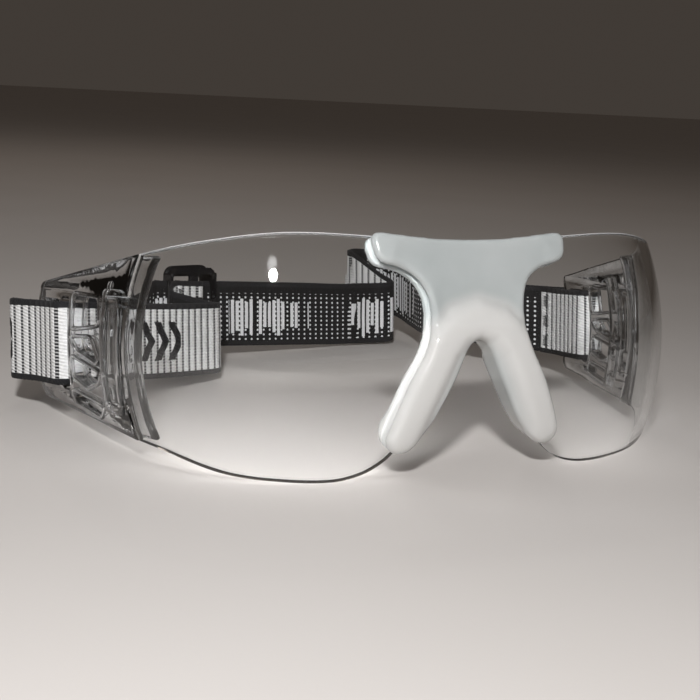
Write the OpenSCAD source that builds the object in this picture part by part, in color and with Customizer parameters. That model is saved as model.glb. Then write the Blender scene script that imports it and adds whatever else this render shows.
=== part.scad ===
// Sports protective goggles: a wrap-around clear shield, two clip-on strap holders,
// a soft nose bridge and a 20 mm elastic strap with a sliding adjuster.
// The shapes are drawn upright, symmetric about X = 0 with +Y towards the wearer,
// then tipped back by `lie_angle` so that the goggles stand as they lie on a table.

/* [Shield] */
// Thickness of the clear shield
shield_t = 2.2; // [1.6:0.1:3]
// Half length of the flat front, measured from the middle
front_half = 30; // [26:1:34]
// Plan radius of the wrapped corner
corner_r = 43.2; // [38:0.2:52]
// How far the corner turns towards the temple
corner_turn = 79.7; // [72:0.1:84]
// Radius of the outward bow from top to bottom
bow_r = 72; // [60:1:110]
// Height of the shield at its tallest
shield_h = 54.2; // [48:0.2:60]
// Arc length from the middle to the seam with the strap holder
seam_s = 86; // [83:0.5:90]
// How much the seam bows forwards towards the top and bottom edges
seam_bow = 4; // [0:0.5:6]

/* [Nose bridge] */
// Height of the silicone legs' tips
nose_leg_z = 6.4; // [5:0.2:9]
// Height of the arch between the legs
nose_arch_z = 30.6; // [26:0.2:34]
// Half width of the T across the brow
brow_half = 24.6; // [22:0.2:28]
// Silicone in front of the shield
nose_front_t = 2.0; // [1.2:0.1:3]
// Silicone behind the shield
nose_back_t = 3.4; // [2:0.1:5]

/* [Strap holders] */
// Length of a strap holder behind the seam
holder_len = 48; // [44:1:54]
// Wall of a strap holder
holder_wall = 3.2; // [2.6:0.1:4]
// Length of the bar behind the slot
bar_len = 14; // [10:0.5:16]
// Width of the strap slot
slot_w = 4.4; // [4:0.1:6]
// Height of the snap tab on each end of the shield
tab_h = 24; // [18:1:28]
// Length of the snap tab
tab_len = 9; // [6:0.5:11]

/* [Strap] */
// Width of the webbing
strap_w = 20; // [18:0.5:22]
// Thickness of the webbing
strap_t = 1.3; // [1.1:0.1:1.6]

/* [Adjuster] */
// Length of the adjuster along the strap
slide_l = 16.5; // [15:0.5:18]
// Thickness of the adjuster's bars
bar_t = 1.8; // [1.4:0.1:2.4]

/* [Hidden] */
$fn = 64;

// The goggles lie tipped back by this angle, on the shield's lower edge and the strap
lie_angle = 7.3;
// Lifts the lowest edge to the table and centres the box in depth
table_lift = 0.68;
depth_centre = 83.56;

// Clearance between mouldings that clip together, and round soft parts
clip_gap = 0.1;
seam_gap = 0.4;
soft_gap = 0.3;

// ---- Plan of the shield: flat front, round corner, straight temple ----
turn_len = corner_r * corner_turn * PI / 180;
temple_s = front_half + turn_len;
mid_z = shield_h / 2 + 0.9;

function heading(s) = s < front_half ? 0 : min(corner_turn, (s - front_half) / corner_r * 180 / PI);
function plan_x(s) = s < front_half ? s :
    front_half + corner_r * sin(heading(s)) + max(0, s - temple_s) * cos(corner_turn);
function plan_y(s) = s < front_half ? 0 :
    corner_r * (1 - cos(heading(s))) + max(0, s - temple_s) * sin(corner_turn);

// A point at arc length s (negative to the left), height z and depth d under the outer face
function bow(z) = asin((z - mid_z) / bow_r);
function inset(z, d) = bow_r - (bow_r - d) * cos(bow(z));
function skin(s, z, d) = [
    sign(s) * (plan_x(abs(s)) - sin(heading(abs(s))) * inset(z, d)),
    plan_y(abs(s)) + cos(heading(abs(s))) * inset(z, d),
    mid_z + (bow_r - d) * sin(bow(z))];

// Smooth curve through [position, value] pairs
function slope(p, i) = i == 0 || i == len(p) - 1 ? 0 :
    (p[i + 1][1] - p[i - 1][1]) / (p[i + 1][0] - p[i - 1][0]);
function segment(p, x, i = 0) = i >= len(p) - 2 || x < p[i + 1][0] ? i : segment(p, x, i + 1);
function hermite(y0, y1, m0, m1, t) = (2 * t ^ 3 - 3 * t ^ 2 + 1) * y0 + (t ^ 3 - 2 * t ^ 2 + t) * m0
    + (3 * t ^ 2 - 2 * t ^ 3) * y1 + (t ^ 3 - t ^ 2) * m1;
function curve(p, x) = let (i = segment(p, x), w = p[i + 1][0] - p[i][0], t = (x - p[i][0]) / w)
    hermite(p[i][1], p[i + 1][1], slope(p, i) * w, slope(p, i + 1) * w, t);

// Upper and lower edges of shield and holders, against arc length
rear_s = seam_s + holder_len;
top_edge = [[0, shield_h - 3.4], [22, shield_h - 0.9], [45, shield_h], [65, shield_h - 1.8],
    [85, shield_h - 4.6], [105, shield_h - 7.4], [rear_s, shield_h - 11.8]];
cut_top = nose_arch_z + 3;
low_edge = [[0, cut_top], [4, cut_top - 2.2], [8, cut_top - 9], [12, cut_top - 16], [16, cut_top - 23],
    [19, 5.8], [22, 3.2], [26, 1.2], [32, 0.1], [45, 0.6], [60, 2.3], [80, 7.3], [100, 9.4], [rear_s, 13.4]];
function seam(z) = seam_s - seam_bow * ((z - mid_z) / (shield_h / 2)) ^ 2;

// ---- Solids ----

// Closes two grids of points, the outer and the inner face, into a solid. Cells that the
// mask leaves out are open, and each edge of the rest is walled.
module shell_solid(outer, inner, nu, nv, mask) {
    m = (nu + 1) * (nv + 1);
    function at(i, j) = i * (nv + 1) + j;
    function solid(i, j) = i >= 0 && i < nu && j >= 0 && j < nv && mask[i][j];
    cells = [for (i = [0:nu - 1], j = [0:nv - 1]) if (mask[i][j]) [i, j]];
    quads = [for (c = cells) let (i = c[0], j = c[1],
        p = [at(i, j), at(i, j + 1), at(i + 1, j + 1), at(i + 1, j)],
        open = [!solid(i - 1, j), !solid(i, j + 1), !solid(i + 1, j), !solid(i, j - 1)])
        each concat([p], [[for (k = [3:-1:0]) m + p[k]]],
            [for (k = [0:3]) if (open[k]) [p[(k + 1) % 4], p[k], m + p[k], m + p[(k + 1) % 4]]])];
    polyhedron(concat(outer, inner), [for (q = quads, t = [[0, 1, 2], [0, 2, 3]]) [for (k = t) q[k]]]);
}

// Columns of the shield run along the arc length, and its rows from edge to edge. The
// middle rows go on past the seam as the snap tab.
tab_lo = mid_z - tab_h / 2;
tab_hi = mid_z + tab_h / 2;
end_rows = 3;
tab_rows = 8;
rows = tab_rows + 2 * end_rows;
seam_lo = curve(low_edge, seam_s);
seam_hi = curve(top_edge, seam_s);
tab_from = (tab_lo - seam_lo) / (seam_hi - seam_lo);
tab_to = (tab_hi - seam_lo) / (seam_hi - seam_lo);
function share(j) = j < end_rows ? tab_from * j / end_rows :
    j < end_rows + tab_rows ? tab_from + (tab_to - tab_from) * (j - end_rows) / tab_rows :
    tab_to + (1 - tab_to) * (j - end_rows - tab_rows) / end_rows;
half_columns = concat([for (s = [2:2:22]) s], [for (i = [0:20]) 23 + (seam_s - 23) * i / 20],
    [seam_s + tab_len / 2, seam_s + tab_len]);
columns = concat([for (i = [len(half_columns) - 1:-1:0]) -half_columns[i]], [0.001], half_columns);
// The seam's bow fades out towards the front, and the tab has none
function pull(s, z) = abs(s) > seam_s ? 0 : sign(s) * (seam_s - seam(z)) * (abs(s) / seam_s) ^ 6;
function shield_face(d) = [for (s = columns, j = [0:rows])
    let (at = min(abs(s), seam_s), lo = curve(low_edge, at), z = lo + (curve(top_edge, at) - lo) * share(j))
    skin(s - pull(s, z), z, d)];
shield_mask = [for (i = [0:len(columns) - 2]) let (far = max(abs(columns[i]), abs(columns[i + 1])) > seam_s)
    [for (j = [0:rows - 1]) !far || (j >= end_rows && j < end_rows + tab_rows)]];

module lens_shield()
    color([0.85, 0.9, 0.93, 0.45])
    lie() shell_solid(shield_face(0), shield_face(shield_t), len(columns) - 1, rows, shield_mask);

// Places children drawn on the right temple: X is arc length, Y is depth, Z is height
module temple(side) {
    x2 = plan_x(temple_s);
    y2 = plan_y(temple_s);
    mirror([side < 0 ? 1 : 0, 0, 0])
        translate([x2, y2, 0])
        rotate(corner_turn)
        translate([-temple_s, 0, 0])
        children();
}

// A stretch of the bowed wall between two depths, along the temple
module wall_band(s0, s1, d0, d1)
    translate([s0, bow_r, mid_z])
    rotate([90, 0, 90])
    linear_extrude(s1 - s0)
    intersection() {
        difference() {
            circle(bow_r - d0, $fn = 128);
            circle(bow_r - d1, $fn = 128);
        }
        translate([-bow_r - 5, -shield_h]) square([bow_r, 2 * shield_h]);
    }

// A prism through the wall with the outline given as arc length and height
module window(points, d0 = -4, d1 = 16)
    translate([0, d1, 0]) rotate([90, 0, 0]) linear_extrude(d1 - d0) polygon(points);

function arc(c, r, a0, a1, n = 6) = [for (i = [0:n]) let (a = a0 + (a1 - a0) * i / n) c + r * [cos(a), sin(a)]];

slot_s = rear_s - bar_len - slot_w;
lip = 3.5;
lip_turn = 24;
pocket_d = shield_t + clip_gap;
floor_t = 1.8;
vent_s = slot_s - 3;
spoke = 2.4;
web_s = seam_s + tab_len + 3;

// Outline of a holder: seam with its bow, straight edges, rounded rear corners
// The shield's end leans back under its face, where the shield still turns
function seam_lean(z) = shield_t * sin((temple_s - seam(z)) / corner_r * 180 / PI);
module holder_outline(front) {
    rc = 4;
    ht = curve(top_edge, rear_s);
    hb = curve(low_edge, rear_s);
    fronts = [for (i = [0:8]) let (z = curve(low_edge, front) + (curve(top_edge, front)
        - curve(low_edge, front)) * i / 8) [seam(z) + front - seam_s + seam_gap + seam_lean(z), z]];
    window(concat(
        [for (i = [8:-1:0]) fronts[i]],
        arc([rear_s - rc, hb + rc], rc, -80, 0),
        arc([rear_s - rc / 2, ht - rc / 2], rc / 2, 0, 80)));
}

// Four vents between the pocket and the slot
module vents() {
    lo = mid_z - 14.5;
    window([[web_s, mid_z + 5.5], [web_s + 1, mid_z + 11], [vent_s, mid_z + 11.5], [vent_s, mid_z + 4]]);
    window([[web_s, mid_z - 3.4], [web_s + 4, mid_z + 1.8], [vent_s, mid_z + 1.4],
        [vent_s - 3, mid_z - 0.8]]);
    window([[web_s, mid_z - 4.6 - spoke / 2], [vent_s, mid_z - 0.8 - spoke], [vent_s, mid_z - 7.4],
        [vent_s - 8, mid_z - 9.6], [web_s + 0.5, mid_z - 7.6]]);
    window([[web_s, lo + 1], [vent_s + 1, lo + 3.2], [vent_s + 1, lo + 1], [web_s + 2, lo - 1.4]]);
}

// The shield's own wall where it still turns, with the clearance that the lip keeps from it
module shield_room()
    translate([temple_s, corner_r, 0])
    rotate(-90 - lip_turn)
    rotate_extrude(angle = lip_turn, $fn = 180)
    intersection() {
        translate([corner_r - bow_r, mid_z]) difference() {
            circle(bow_r + 1, $fn = 128);
            circle(bow_r - shield_t - soft_gap, $fn = 128);
        }
        translate([1, -shield_h]) square([corner_r + 5, 3 * shield_h]);
    }

module bracket(side)
    color([0.85, 0.9, 0.93, 0.5])
    lie() temple(side)
    difference() {
        union() {
            intersection() {
                wall_band(seam_s - 8, rear_s + 1, 0, holder_wall);
                holder_outline(seam_s);
            }
            // Lip behind the shield's end, and the pocket's floor
            difference() {
                intersection() {
                    wall_band(seam_s - 8, web_s - 1.5, pocket_d + 0.7, pocket_d + floor_t + 0.7);
                    holder_outline(seam_s - lip);
                }
                shield_room();
            }
        }
        // Pocket for the shield's snap tab
        intersection() {
            wall_band(seam_s - 5, seam_s + tab_len + clip_gap, -1, pocket_d + 0.35);
            window([[seam_s - 6, tab_lo - 0.2], [seam_s + 20, tab_lo - 0.2],
                [seam_s + 20, tab_hi + 0.2], [seam_s - 6, tab_hi + 0.2]]);
        }
        vents();
        // Slot for the strap
        window([[slot_s, mid_z - strap_w / 2 - 1], [slot_s + slot_w, mid_z - strap_w / 2 - 1],
            [slot_s + slot_w, mid_z + strap_w / 2 + 1], [slot_s, mid_z + strap_w / 2 + 1]]);
    }

module side_bracket_left() bracket(-1);
module side_bracket_right() bracket(1);

// ---- Nose bridge: outline of the right half, from the brow's middle round to the arch ----
brow_z = curve(top_edge, 0) + 1.4;
nose_half = [[0, brow_z], [8, brow_z + 0.2], [16, brow_z + 0.9], [brow_half - 1.5, brow_z + 1.7],
    [brow_half, brow_z + 0.6], [brow_half - 0.6, brow_z - 3.4], [brow_half - 2, brow_z - 4.8],
    [brow_half - 6.8, brow_z - 5.8], [14.2, brow_z - 8], [12.1, brow_z - 11.6], [11.6, brow_z - 15.4],
    [12.1, nose_arch_z + 1], [13.6, nose_arch_z - 3], [17, nose_leg_z + 15.6], [20.2, nose_leg_z + 8],
    [21.9, nose_leg_z + 3.4], [21.2, nose_leg_z + 0.9], [19.4, nose_leg_z - 0.2], [17, nose_leg_z],
    [14.4, nose_leg_z + 1.8], [10.4, nose_leg_z + 7.2], [5.9, nose_leg_z + 15.6], [3.2, nose_arch_z - 2.4],
    [1.6, nose_arch_z - 0.5], [0, nose_arch_z]];
nose_outline = concat(nose_half, [for (i = [len(nose_half) - 2:-1:1]) [-nose_half[i][0], nose_half[i][1]]]);
groove_x = [for (x = [-28:2:28]) x];
nose_groove = concat([for (x = groove_x) [x, curve(low_edge, abs(x)) - soft_gap]],
    [for (i = [len(groove_x) - 1:-1:0]) [groove_x[i], curve(top_edge, abs(groove_x[i])) + clip_gap]]);

module nose_bridge()
    color([0.9, 0.92, 0.93, 0.95])
    lie() difference() {
        intersection() {
            wall_band(-28, 28, -nose_front_t, shield_t + nose_back_t);
            window(nose_outline);
        }
        // The shield's edge sits in this groove
        intersection() {
            wall_band(-29, 29, -clip_gap, shield_t + clip_gap);
            window(nose_groove);
        }
    }

// ---- Strap: one upright ribbon along a plan route, with its own height at each point ----
// The route runs from the sewn tail at the right holder, behind the head, through the
// adjuster, round the left holder's bar and back to the adjuster's middle bar.

// A strap point beside a holder's wall, by arc length, depth and height
function beside(side, s, d, z) =
    [side * (plan_x(s) - sin(corner_turn) * d), plan_y(s) + cos(corner_turn) * d, z];
strap_z = mid_z - 0.2;
out_d = -strap_t / 2 - soft_gap - 0.2;
in_d = holder_wall + strap_t / 2 + soft_gap + inset(mid_z + strap_w / 2, 0) + 0.6;
slot_mid = slot_s + slot_w / 2;
// Round a bar: from behind the holder, along its outside and in through the slot
function bar_wrap(side) = [
    beside(side, rear_s + 9.2, -2.25, strap_z),
    beside(side, rear_s + 5.1, -3.8, strap_z),
    beside(side, rear_s - 3, out_d - 0.4, strap_z),
    beside(side, slot_mid + 4.4, out_d, strap_z),
    beside(side, slot_mid + 1.1, out_d + 0.15, strap_z),
    beside(side, slot_mid, holder_wall / 2, strap_z),
    beside(side, slot_mid + 1.2, in_d - 0.6, strap_z),
    beside(side, slot_mid + 4.4, in_d, strap_z)];
function backwards(p) = [for (i = [len(p) - 1:-1:0]) p[i]];

// The adjuster rides on the straight stretch between these two points
slide_at = [-26, 127.6, 30.4];
run_end = [31, 139.26, 28.35];
run_way = (run_end - slide_at) / norm(run_end - slide_at);
run_turn = atan2(run_way[1], run_way[0]);
// A point in the adjuster's own plan: along the run, and away from the front of the strap
function at_bar(u, d) = slide_at + u * run_way + d * [-sin(run_turn), cos(run_turn), 0];

// Running clearance of the webbing against the adjuster's bars and against itself
slip = 0.2;
half_t = strap_t / 2 + slip;
centre_y = -half_t - strap_t - slip - bar_t;
wrap_front = centre_y - slip - strap_t / 2;
wrap_back = -strap_t - slip;
middle_bar_w = 3;

tail_from = in_d + 0.2;
tail_to = 7.3;
tail_len = 6.4;
tail_lean = atan((tail_to - tail_from) / tail_len);
right_tail = concat(
    [beside(1, rear_s + 2 + tail_len, tail_to, 28.2), beside(1, rear_s + 2, tail_from, strap_z)],
    backwards(bar_wrap(1)));
folds = [[80.8, 89.2, 28], [77, 88, 28.2], [68, 97.5, 29], [60, 109, 30.5], [53.5, 123, 32], [56.5, 137, 33],
    [57.5, 149, 35.5], [54, 158.5, 38.6], [48, 160.5, 39.6], [43, 157.5, 39.4], [43.4, 151.5, 37],
    [48, 145.4, 31.6], [50.4, 141.6, 29.2], [48, 140.6, 28.4]];
run = [[42, 141.2, 28.2], run_end, at_bar(45, 0), at_bar(30, 0), at_bar(15, 0), slide_at, at_bar(-9.5, 0),
    at_bar(-13, 0)];
left_way = [[-43, 121.6, 28.6], [-54, 116.2, 26.6], [-66, 108, 26], [-75.5, 99.5, 26.4], [-81.4, 92, 27.4]];
near_leg = [[-70, 70.2, 27.2], [-58, 78.2, 26.4], [-44, 88, 25.5], [-32, 96, 25], [-27.6, 98.6, 24.9]];
fold_back = [[-25, 101.4, 24.9], [-26.8, 104.6, 25.1], [-31, 109, 26.4], [-35.4, 114.4, 28.2]];
wrap_out = middle_bar_w / 2 + 1.3;
wrap_mid = (wrap_front + wrap_back) / 2;
end_loop = [at_bar(-9, wrap_front - 2), at_bar(-4.5, wrap_front - 0.7), at_bar(-1, wrap_front),
    at_bar(0.8, wrap_front - 0.1), at_bar(wrap_out - 0.3, wrap_front + 0.8), at_bar(wrap_out, wrap_mid),
    at_bar(wrap_out - 0.3, wrap_back - 0.7), at_bar(0.8, wrap_back), at_bar(-1.4, wrap_back),
    at_bar(-5, wrap_back - 1.4), at_bar(-9.5, wrap_back - 3.2)];
left_parts = concat(run, left_way);
strap_points = concat(right_tail, folds, left_parts, bar_wrap(-1), near_leg, fold_back, end_loop);

// Rounds the hand-chosen points with a spline through them
strap_steps = 3;
function spline_at(p, i, t) =
    let (a = p[max(0, i - 1)], b = p[i], c = p[i + 1], d = p[min(len(p) - 1, i + 2)])
    (2 * b + (c - a) * t + (2 * a - 5 * b + 4 * c - d) * t ^ 2 + (3 * b - a - 3 * c + d) * t ^ 3) / 2;
route = concat([for (i = [0:len(strap_points) - 2], k = [0:strap_steps - 1])
    spline_at(strap_points, i, k / strap_steps)], [strap_points[len(strap_points) - 1]]);
function side_way(i) = let (a = route[max(0, i - 1)], b = route[min(len(route) - 1, i + 1)],
    d = [b[0] - a[0], b[1] - a[1]]) [-d[1], d[0]] / norm(d);

// The stretch of webbing between two of the chosen points
module webbing(first, last) {
    i0 = first * strap_steps;
    n = (last - first) * strap_steps;
    function corner(i, side, up) = let (w = side_way(i0 + i), c = route[i0 + i])
        [c[0] + side * w[0] * strap_t / 2, c[1] + side * w[1] * strap_t / 2, c[2] + up * strap_w / 2];
    points = [for (i = [0:n], c = [[1, -1], [1, 1], [-1, 1], [-1, -1]]) corner(i, c[0], c[1])];
    sides = [for (i = [0:n - 1], k = [0:3]) let (a = 4 * i + k, b = 4 * i + (k + 1) % 4)
        each [[a, b, b + 4], [a, b + 4, a + 4]]];
    e = 4 * n;
    polyhedron(points, concat(sides, [[2, 1, 0], [3, 2, 0]], [[e, e + 1, e + 2], [e, e + 2, e + 3]]));
}

join_i = len(right_tail) + 1;
left_i = len(right_tail) + len(folds) + len(left_parts);
near_i = left_i + len(bar_wrap(-1)) + len(near_leg);
loop_i = near_i + len(fold_back);

module strap_right_loop()
    color([0.86, 0.86, 0.85]) lie() webbing(0, join_i);
module strap_headband()
    color([0.13, 0.13, 0.14]) lie() webbing(join_i, left_i);
module strap_left_loop()
    color([0.86, 0.86, 0.85]) lie() webbing(left_i, near_i);
module strap_return()
    color([0.2, 0.2, 0.21]) lie() webbing(near_i, loop_i);
module strap_end_loop()
    color([0.2, 0.2, 0.21]) lie() webbing(loop_i, len(strap_points) - 1);

// ---- Adjuster, drawn with X along the run and Y away from the front of the strap ----
rail_h = 3.4;
window_gap = 1.1;
slide_w = strap_w + 2 * (rail_h + window_gap);
outer_bar_w = 3.2;
slide_lift = 0.3;
module at_slide()
    translate(slide_at + [0, 0, slide_lift]) rotate(run_turn) children();

module flat_bar(w)
    linear_extrude(slide_w - rail_h, center = true)
    polygon(concat(
        arc([w / 2 - 0.6, bar_t / 2 - 0.6], 0.6, 0, 90), arc([-w / 2 + 0.6, bar_t / 2 - 0.6], 0.6, 90, 180),
        arc([-w / 2 + 0.6, -bar_t / 2 + 0.6], 0.6, 180, 270),
        arc([w / 2 - 0.6, -bar_t / 2 + 0.6], 0.6, 270, 360)));

module slide_adjuster()
    color([0.06, 0.06, 0.065])
    lie() at_slide() {
        for (x = [-1, 1])
            translate([x * (slide_l - outer_bar_w) / 2, half_t + bar_t / 2, 0]) flat_bar(outer_bar_w);
        translate([0, centre_y + bar_t / 2, 0]) flat_bar(middle_bar_w);
        for (z = [-1, 1])
            translate([0, 0, z * (slide_w - rail_h) / 2])
            linear_extrude(rail_h, center = true)
            polygon(concat(
                arc([slide_l / 2 - 2, half_t + bar_t - 2], 2, 0, 90),
                arc([-slide_l / 2 + 2, half_t + bar_t - 2], 2, 90, 180),
                arc([-slide_l / 2 + 2, centre_y + 2], 2, 180, 270),
                arc([slide_l / 2 - 2, centre_y + 2], 2, 270, 360)));
    }

// Bar tacks: three short rows of thread, proud of the webbing they close
tack_pitch = 6;
tack_t = 0.5;
tack_off = strap_t / 2 + tack_t / 2 + 0.15;
module tacks(l)
    for (z = [-1, 0, 1]) translate([0, 0, z * tack_pitch]) cube([l, tack_t, 3.2], center = true);
module stitch_right()
    color([0.1, 0.1, 0.11])
    lie() translate(beside(1, rear_s + 2 + tail_len * 0.55, tail_from + (tail_to - tail_from) * 0.55, 28))
    rotate(corner_turn + tail_lean) translate([0, tack_off, 0]) tacks(2.2);
module stitch_slider()
    color([0.1, 0.1, 0.11])
    lie() translate(at_bar(-6.9, wrap_front - 1.4))
    rotate(run_turn + 16.5) translate([0, -tack_off, 0]) tacks(1.6);

// Tips the upright goggles back on to the table
module lie()
    translate([0, -depth_centre, table_lift]) rotate([-lie_angle, 0, 0]) children();

lens_shield();
side_bracket_left();
side_bracket_right();
nose_bridge();
strap_headband();
strap_right_loop();
strap_left_loop();
strap_return();
strap_end_loop();
slide_adjuster();
stitch_right();
stitch_slider();
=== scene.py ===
# %% [markdown]
# # Clear sports goggles on a table
# A one-piece clear shield wraps round the face. Two clear holders clip on its ends, a soft
# milky bridge sits over the nose, and a woven elastic strap runs round the back through a
# black three-bar adjuster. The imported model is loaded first, as a fixed frame, and every
# piece below is made in that frame and rides on one of its bodies.

# %% Load the frame
import math

import bmesh
import bpy
from mathutils import Matrix, Vector
from mathutils.kdtree import KDTree


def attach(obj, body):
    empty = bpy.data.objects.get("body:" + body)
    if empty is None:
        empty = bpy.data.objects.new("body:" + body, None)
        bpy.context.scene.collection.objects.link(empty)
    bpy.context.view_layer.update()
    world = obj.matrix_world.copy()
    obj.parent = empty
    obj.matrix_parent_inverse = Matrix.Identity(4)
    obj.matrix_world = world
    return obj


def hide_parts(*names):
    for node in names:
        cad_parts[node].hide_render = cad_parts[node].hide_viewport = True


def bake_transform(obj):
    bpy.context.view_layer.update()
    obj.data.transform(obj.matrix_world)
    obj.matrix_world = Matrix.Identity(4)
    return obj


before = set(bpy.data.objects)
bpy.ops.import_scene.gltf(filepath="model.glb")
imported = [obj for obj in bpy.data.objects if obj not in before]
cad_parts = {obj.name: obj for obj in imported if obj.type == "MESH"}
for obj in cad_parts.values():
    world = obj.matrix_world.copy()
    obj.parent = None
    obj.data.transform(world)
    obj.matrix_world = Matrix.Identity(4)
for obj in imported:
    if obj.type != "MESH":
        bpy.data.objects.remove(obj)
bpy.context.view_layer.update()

scene = bpy.context.scene

# %% [markdown]
# ## The driving sizes
# The shield is bent from one sheet: flat across the nose, a round corner, then a straight
# temple. In section it is a shallow arc, the bow. All sizes are in millimetres, and the
# goggles are drawn upright, because that is how a maker would measure them.

# %% Sizes shared by every piece
MM = 0.001
LIE = math.radians(7.3)
DEPTH_CENTRE = 83.56
TABLE_LIFT = 0.68
SHIELD_T = 2.2
FRONT_HALF = 30.0
CORNER_R = 43.2
CORNER_TURN = math.radians(79.7)
BOW_R = 72.0
SHIELD_H = 54.2
MID_Z = SHIELD_H / 2 + 0.9
SEAM_S = 86.0
SEAM_BOW = 4.0
REAR_S = SEAM_S + 48.0
CORNER_END = FRONT_HALF + CORNER_R * CORNER_TURN
print("the round corner ends", round(CORNER_END, 1), "mm round from the middle")

# %% [markdown]
# ## The shield's surface, as a formula
# Everything clipped on the shield follows the same surface. It could be read off a finished
# mesh, but a formula is exact: one function gives a point from three numbers, the arc
# length round the face, the height, and the depth under the outer face. `lie` then tips
# the upright drawing on to the table.

# %% Points on the shield and its holders


def lie(x, y, z):
    """A point of the upright goggles, in mm, as it lies on the table, in metres."""
    return Vector((
        x,
        y * math.cos(LIE) + z * math.sin(LIE) - DEPTH_CENTRE,
        z * math.cos(LIE) - y * math.sin(LIE) + TABLE_LIFT)) * MM


def plan(s):
    """Plan point and heading at arc length s, on the right-hand side."""
    turn = min(CORNER_TURN, max(0.0, (s - FRONT_HALF) / CORNER_R))
    past = max(0.0, s - CORNER_END)
    x = min(s, FRONT_HALF) + CORNER_R * math.sin(turn) + past * math.cos(CORNER_TURN)
    y = CORNER_R * (1 - math.cos(turn)) + past * math.sin(CORNER_TURN)
    return x, y, turn


def skin(s, z, d):
    """A point on the shield: s is negative to the left, d is under the outer face."""
    side = -1 if s < 0 else 1
    x, y, turn = plan(abs(s))
    bow = math.asin((z - MID_Z) / BOW_R)
    inset = BOW_R - (BOW_R - d) * math.cos(bow)
    return lie(
        side * (x - math.sin(turn) * inset),
        y + math.cos(turn) * inset,
        MID_Z + (BOW_R - d) * math.sin(bow))


def temple(side, s, z, d):
    """A point on a holder, whose wall runs straight on from the temple."""
    x, y, turn = plan(CORNER_END)
    along = s - CORNER_END
    bow = math.asin((z - MID_Z) / BOW_R)
    inset = BOW_R - (BOW_R - d) * math.cos(bow)
    return lie(
        side * (x + along * math.cos(turn) - math.sin(turn) * inset),
        y + along * math.sin(turn) + math.cos(turn) * inset,
        MID_Z + (BOW_R - d) * math.sin(bow))


print("middle of the shield, mm:", [round(c / MM, 1) for c in skin(0, MID_Z, 0)])

# %% [markdown]
# ## The shield's edges
# The brow and the lower edge are free curves. Each is a few pairs of arc length and height,
# with a smooth curve through them, which keeps the arch over the nose even. The seam with
# the holder bows back at mid height.

# %% Edge curves


def curve_at(points, x):
    """Smooth curve through [position, value] pairs, level at both ends."""
    last = len(points) - 1
    i = 0
    while i < last - 1 and x >= points[i + 1][0]:
        i += 1

    def slope(k):
        if k in (0, last):
            return 0.0
        return (points[k + 1][1] - points[k - 1][1]) / (points[k + 1][0] - points[k - 1][0])

    w = points[i + 1][0] - points[i][0]
    t = (x - points[i][0]) / w
    return ((2 * t**3 - 3 * t**2 + 1) * points[i][1] + (t**3 - 2 * t**2 + t) * slope(i) * w
            + (3 * t**2 - 2 * t**3) * points[i + 1][1] + (t**3 - t**2) * slope(i + 1) * w)


TOP_EDGE = [(0, SHIELD_H - 3.4), (22, SHIELD_H - 0.9), (45, SHIELD_H), (65, SHIELD_H - 1.8),
            (85, SHIELD_H - 4.6), (105, SHIELD_H - 7.4), (REAR_S, SHIELD_H - 11.8)]
ARCH_Z = 30.6
LOW_EDGE = [(0, ARCH_Z + 3), (4, ARCH_Z + 0.8), (8, ARCH_Z - 6), (12, ARCH_Z - 13),
            (16, ARCH_Z - 20), (19, 5.8), (22, 3.2), (26, 1.2), (32, 0.1), (45, 0.6),
            (60, 2.3), (80, 7.3), (100, 9.4), (REAR_S, 13.4)]


def seam(z):
    """Arc length of the seam between shield and holder, which bows back at mid height."""
    return SEAM_S - SEAM_BOW * ((z - MID_Z) / (SHIELD_H / 2)) ** 2


print("shield spans", round(2 * plan(SEAM_S)[0], 1), "mm across and", SHIELD_H, "mm up")

# %% [markdown]
# ## Small helpers
# `node` adds one shader or geometry node, with its settings and its links; a node given as
# an input links its first output. `piece` wraps a finished mesh as an object. A colour is
# written as the sRGB hex value that a paint chart would give, and `linear` turns it into
# the linear numbers that light uses.

# %% Node, colour and object helpers


def linear(code, alpha=1.0):
    """sRGB hex to linear RGBA."""
    parts = [int(code[i:i + 2], 16) / 255 for i in (1, 3, 5)]
    return [c / 12.92 if c <= 0.04045 else ((c + 0.055) / 1.055) ** 2.4 for c in parts] + [alpha]


def node(tree, kind, inputs=None, **settings):
    """Adds a node: settings are its properties, inputs are values, or what to link."""
    made = tree.nodes.new(kind)
    for name, value in settings.items():
        setattr(made, name, value)
    for name, value in (inputs or {}).items():
        if isinstance(value, bpy.types.Node):
            value = value.outputs[0]
        if isinstance(value, bpy.types.NodeSocket):
            tree.links.new(value, made.inputs[name])
        else:
            made.inputs[name].default_value = value
    return made


def new_material(name):
    """An empty node material and its tree."""
    material = bpy.data.materials.new(name)
    material.use_nodes = True
    material.node_tree.nodes.clear()
    return material, material.node_tree


def per_metre(spacing):
    """A texture's scale from the real spacing of its pattern, in mm."""
    return 1 / (spacing * MM)


def mesh_from(made, name):
    """Turns a finished bmesh into a named mesh."""
    mesh = bpy.data.meshes.new(name)
    made.to_mesh(mesh)
    made.free()
    return mesh


def join_on(whole, made):
    """Joins one finished layer on to the whole moulding."""
    part = mesh_from(made, "part")
    whole.from_mesh(part)
    bpy.data.meshes.remove(part)


def piece(name, mesh, materials):
    """An object at the origin for a finished mesh, smooth shaded."""
    thing = bpy.data.objects.new(name, mesh)
    scene.collection.objects.link(thing)
    for material in materials:
        mesh.materials.append(material)
    mesh.shade_smooth()
    return thing


def bake_modifiers(thing):
    """Turns an object's live modifiers into plain mesh."""
    graph = bpy.context.evaluated_depsgraph_get()
    mesh = bpy.data.meshes.new_from_object(thing.evaluated_get(graph))
    old = thing.data
    thing.modifiers.clear()
    thing.data = mesh
    bpy.data.meshes.remove(old)
    return thing


print("white in linear light:", linear("#ffffff"), "and a 20 mm pattern's scale:", per_metre(20))

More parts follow.
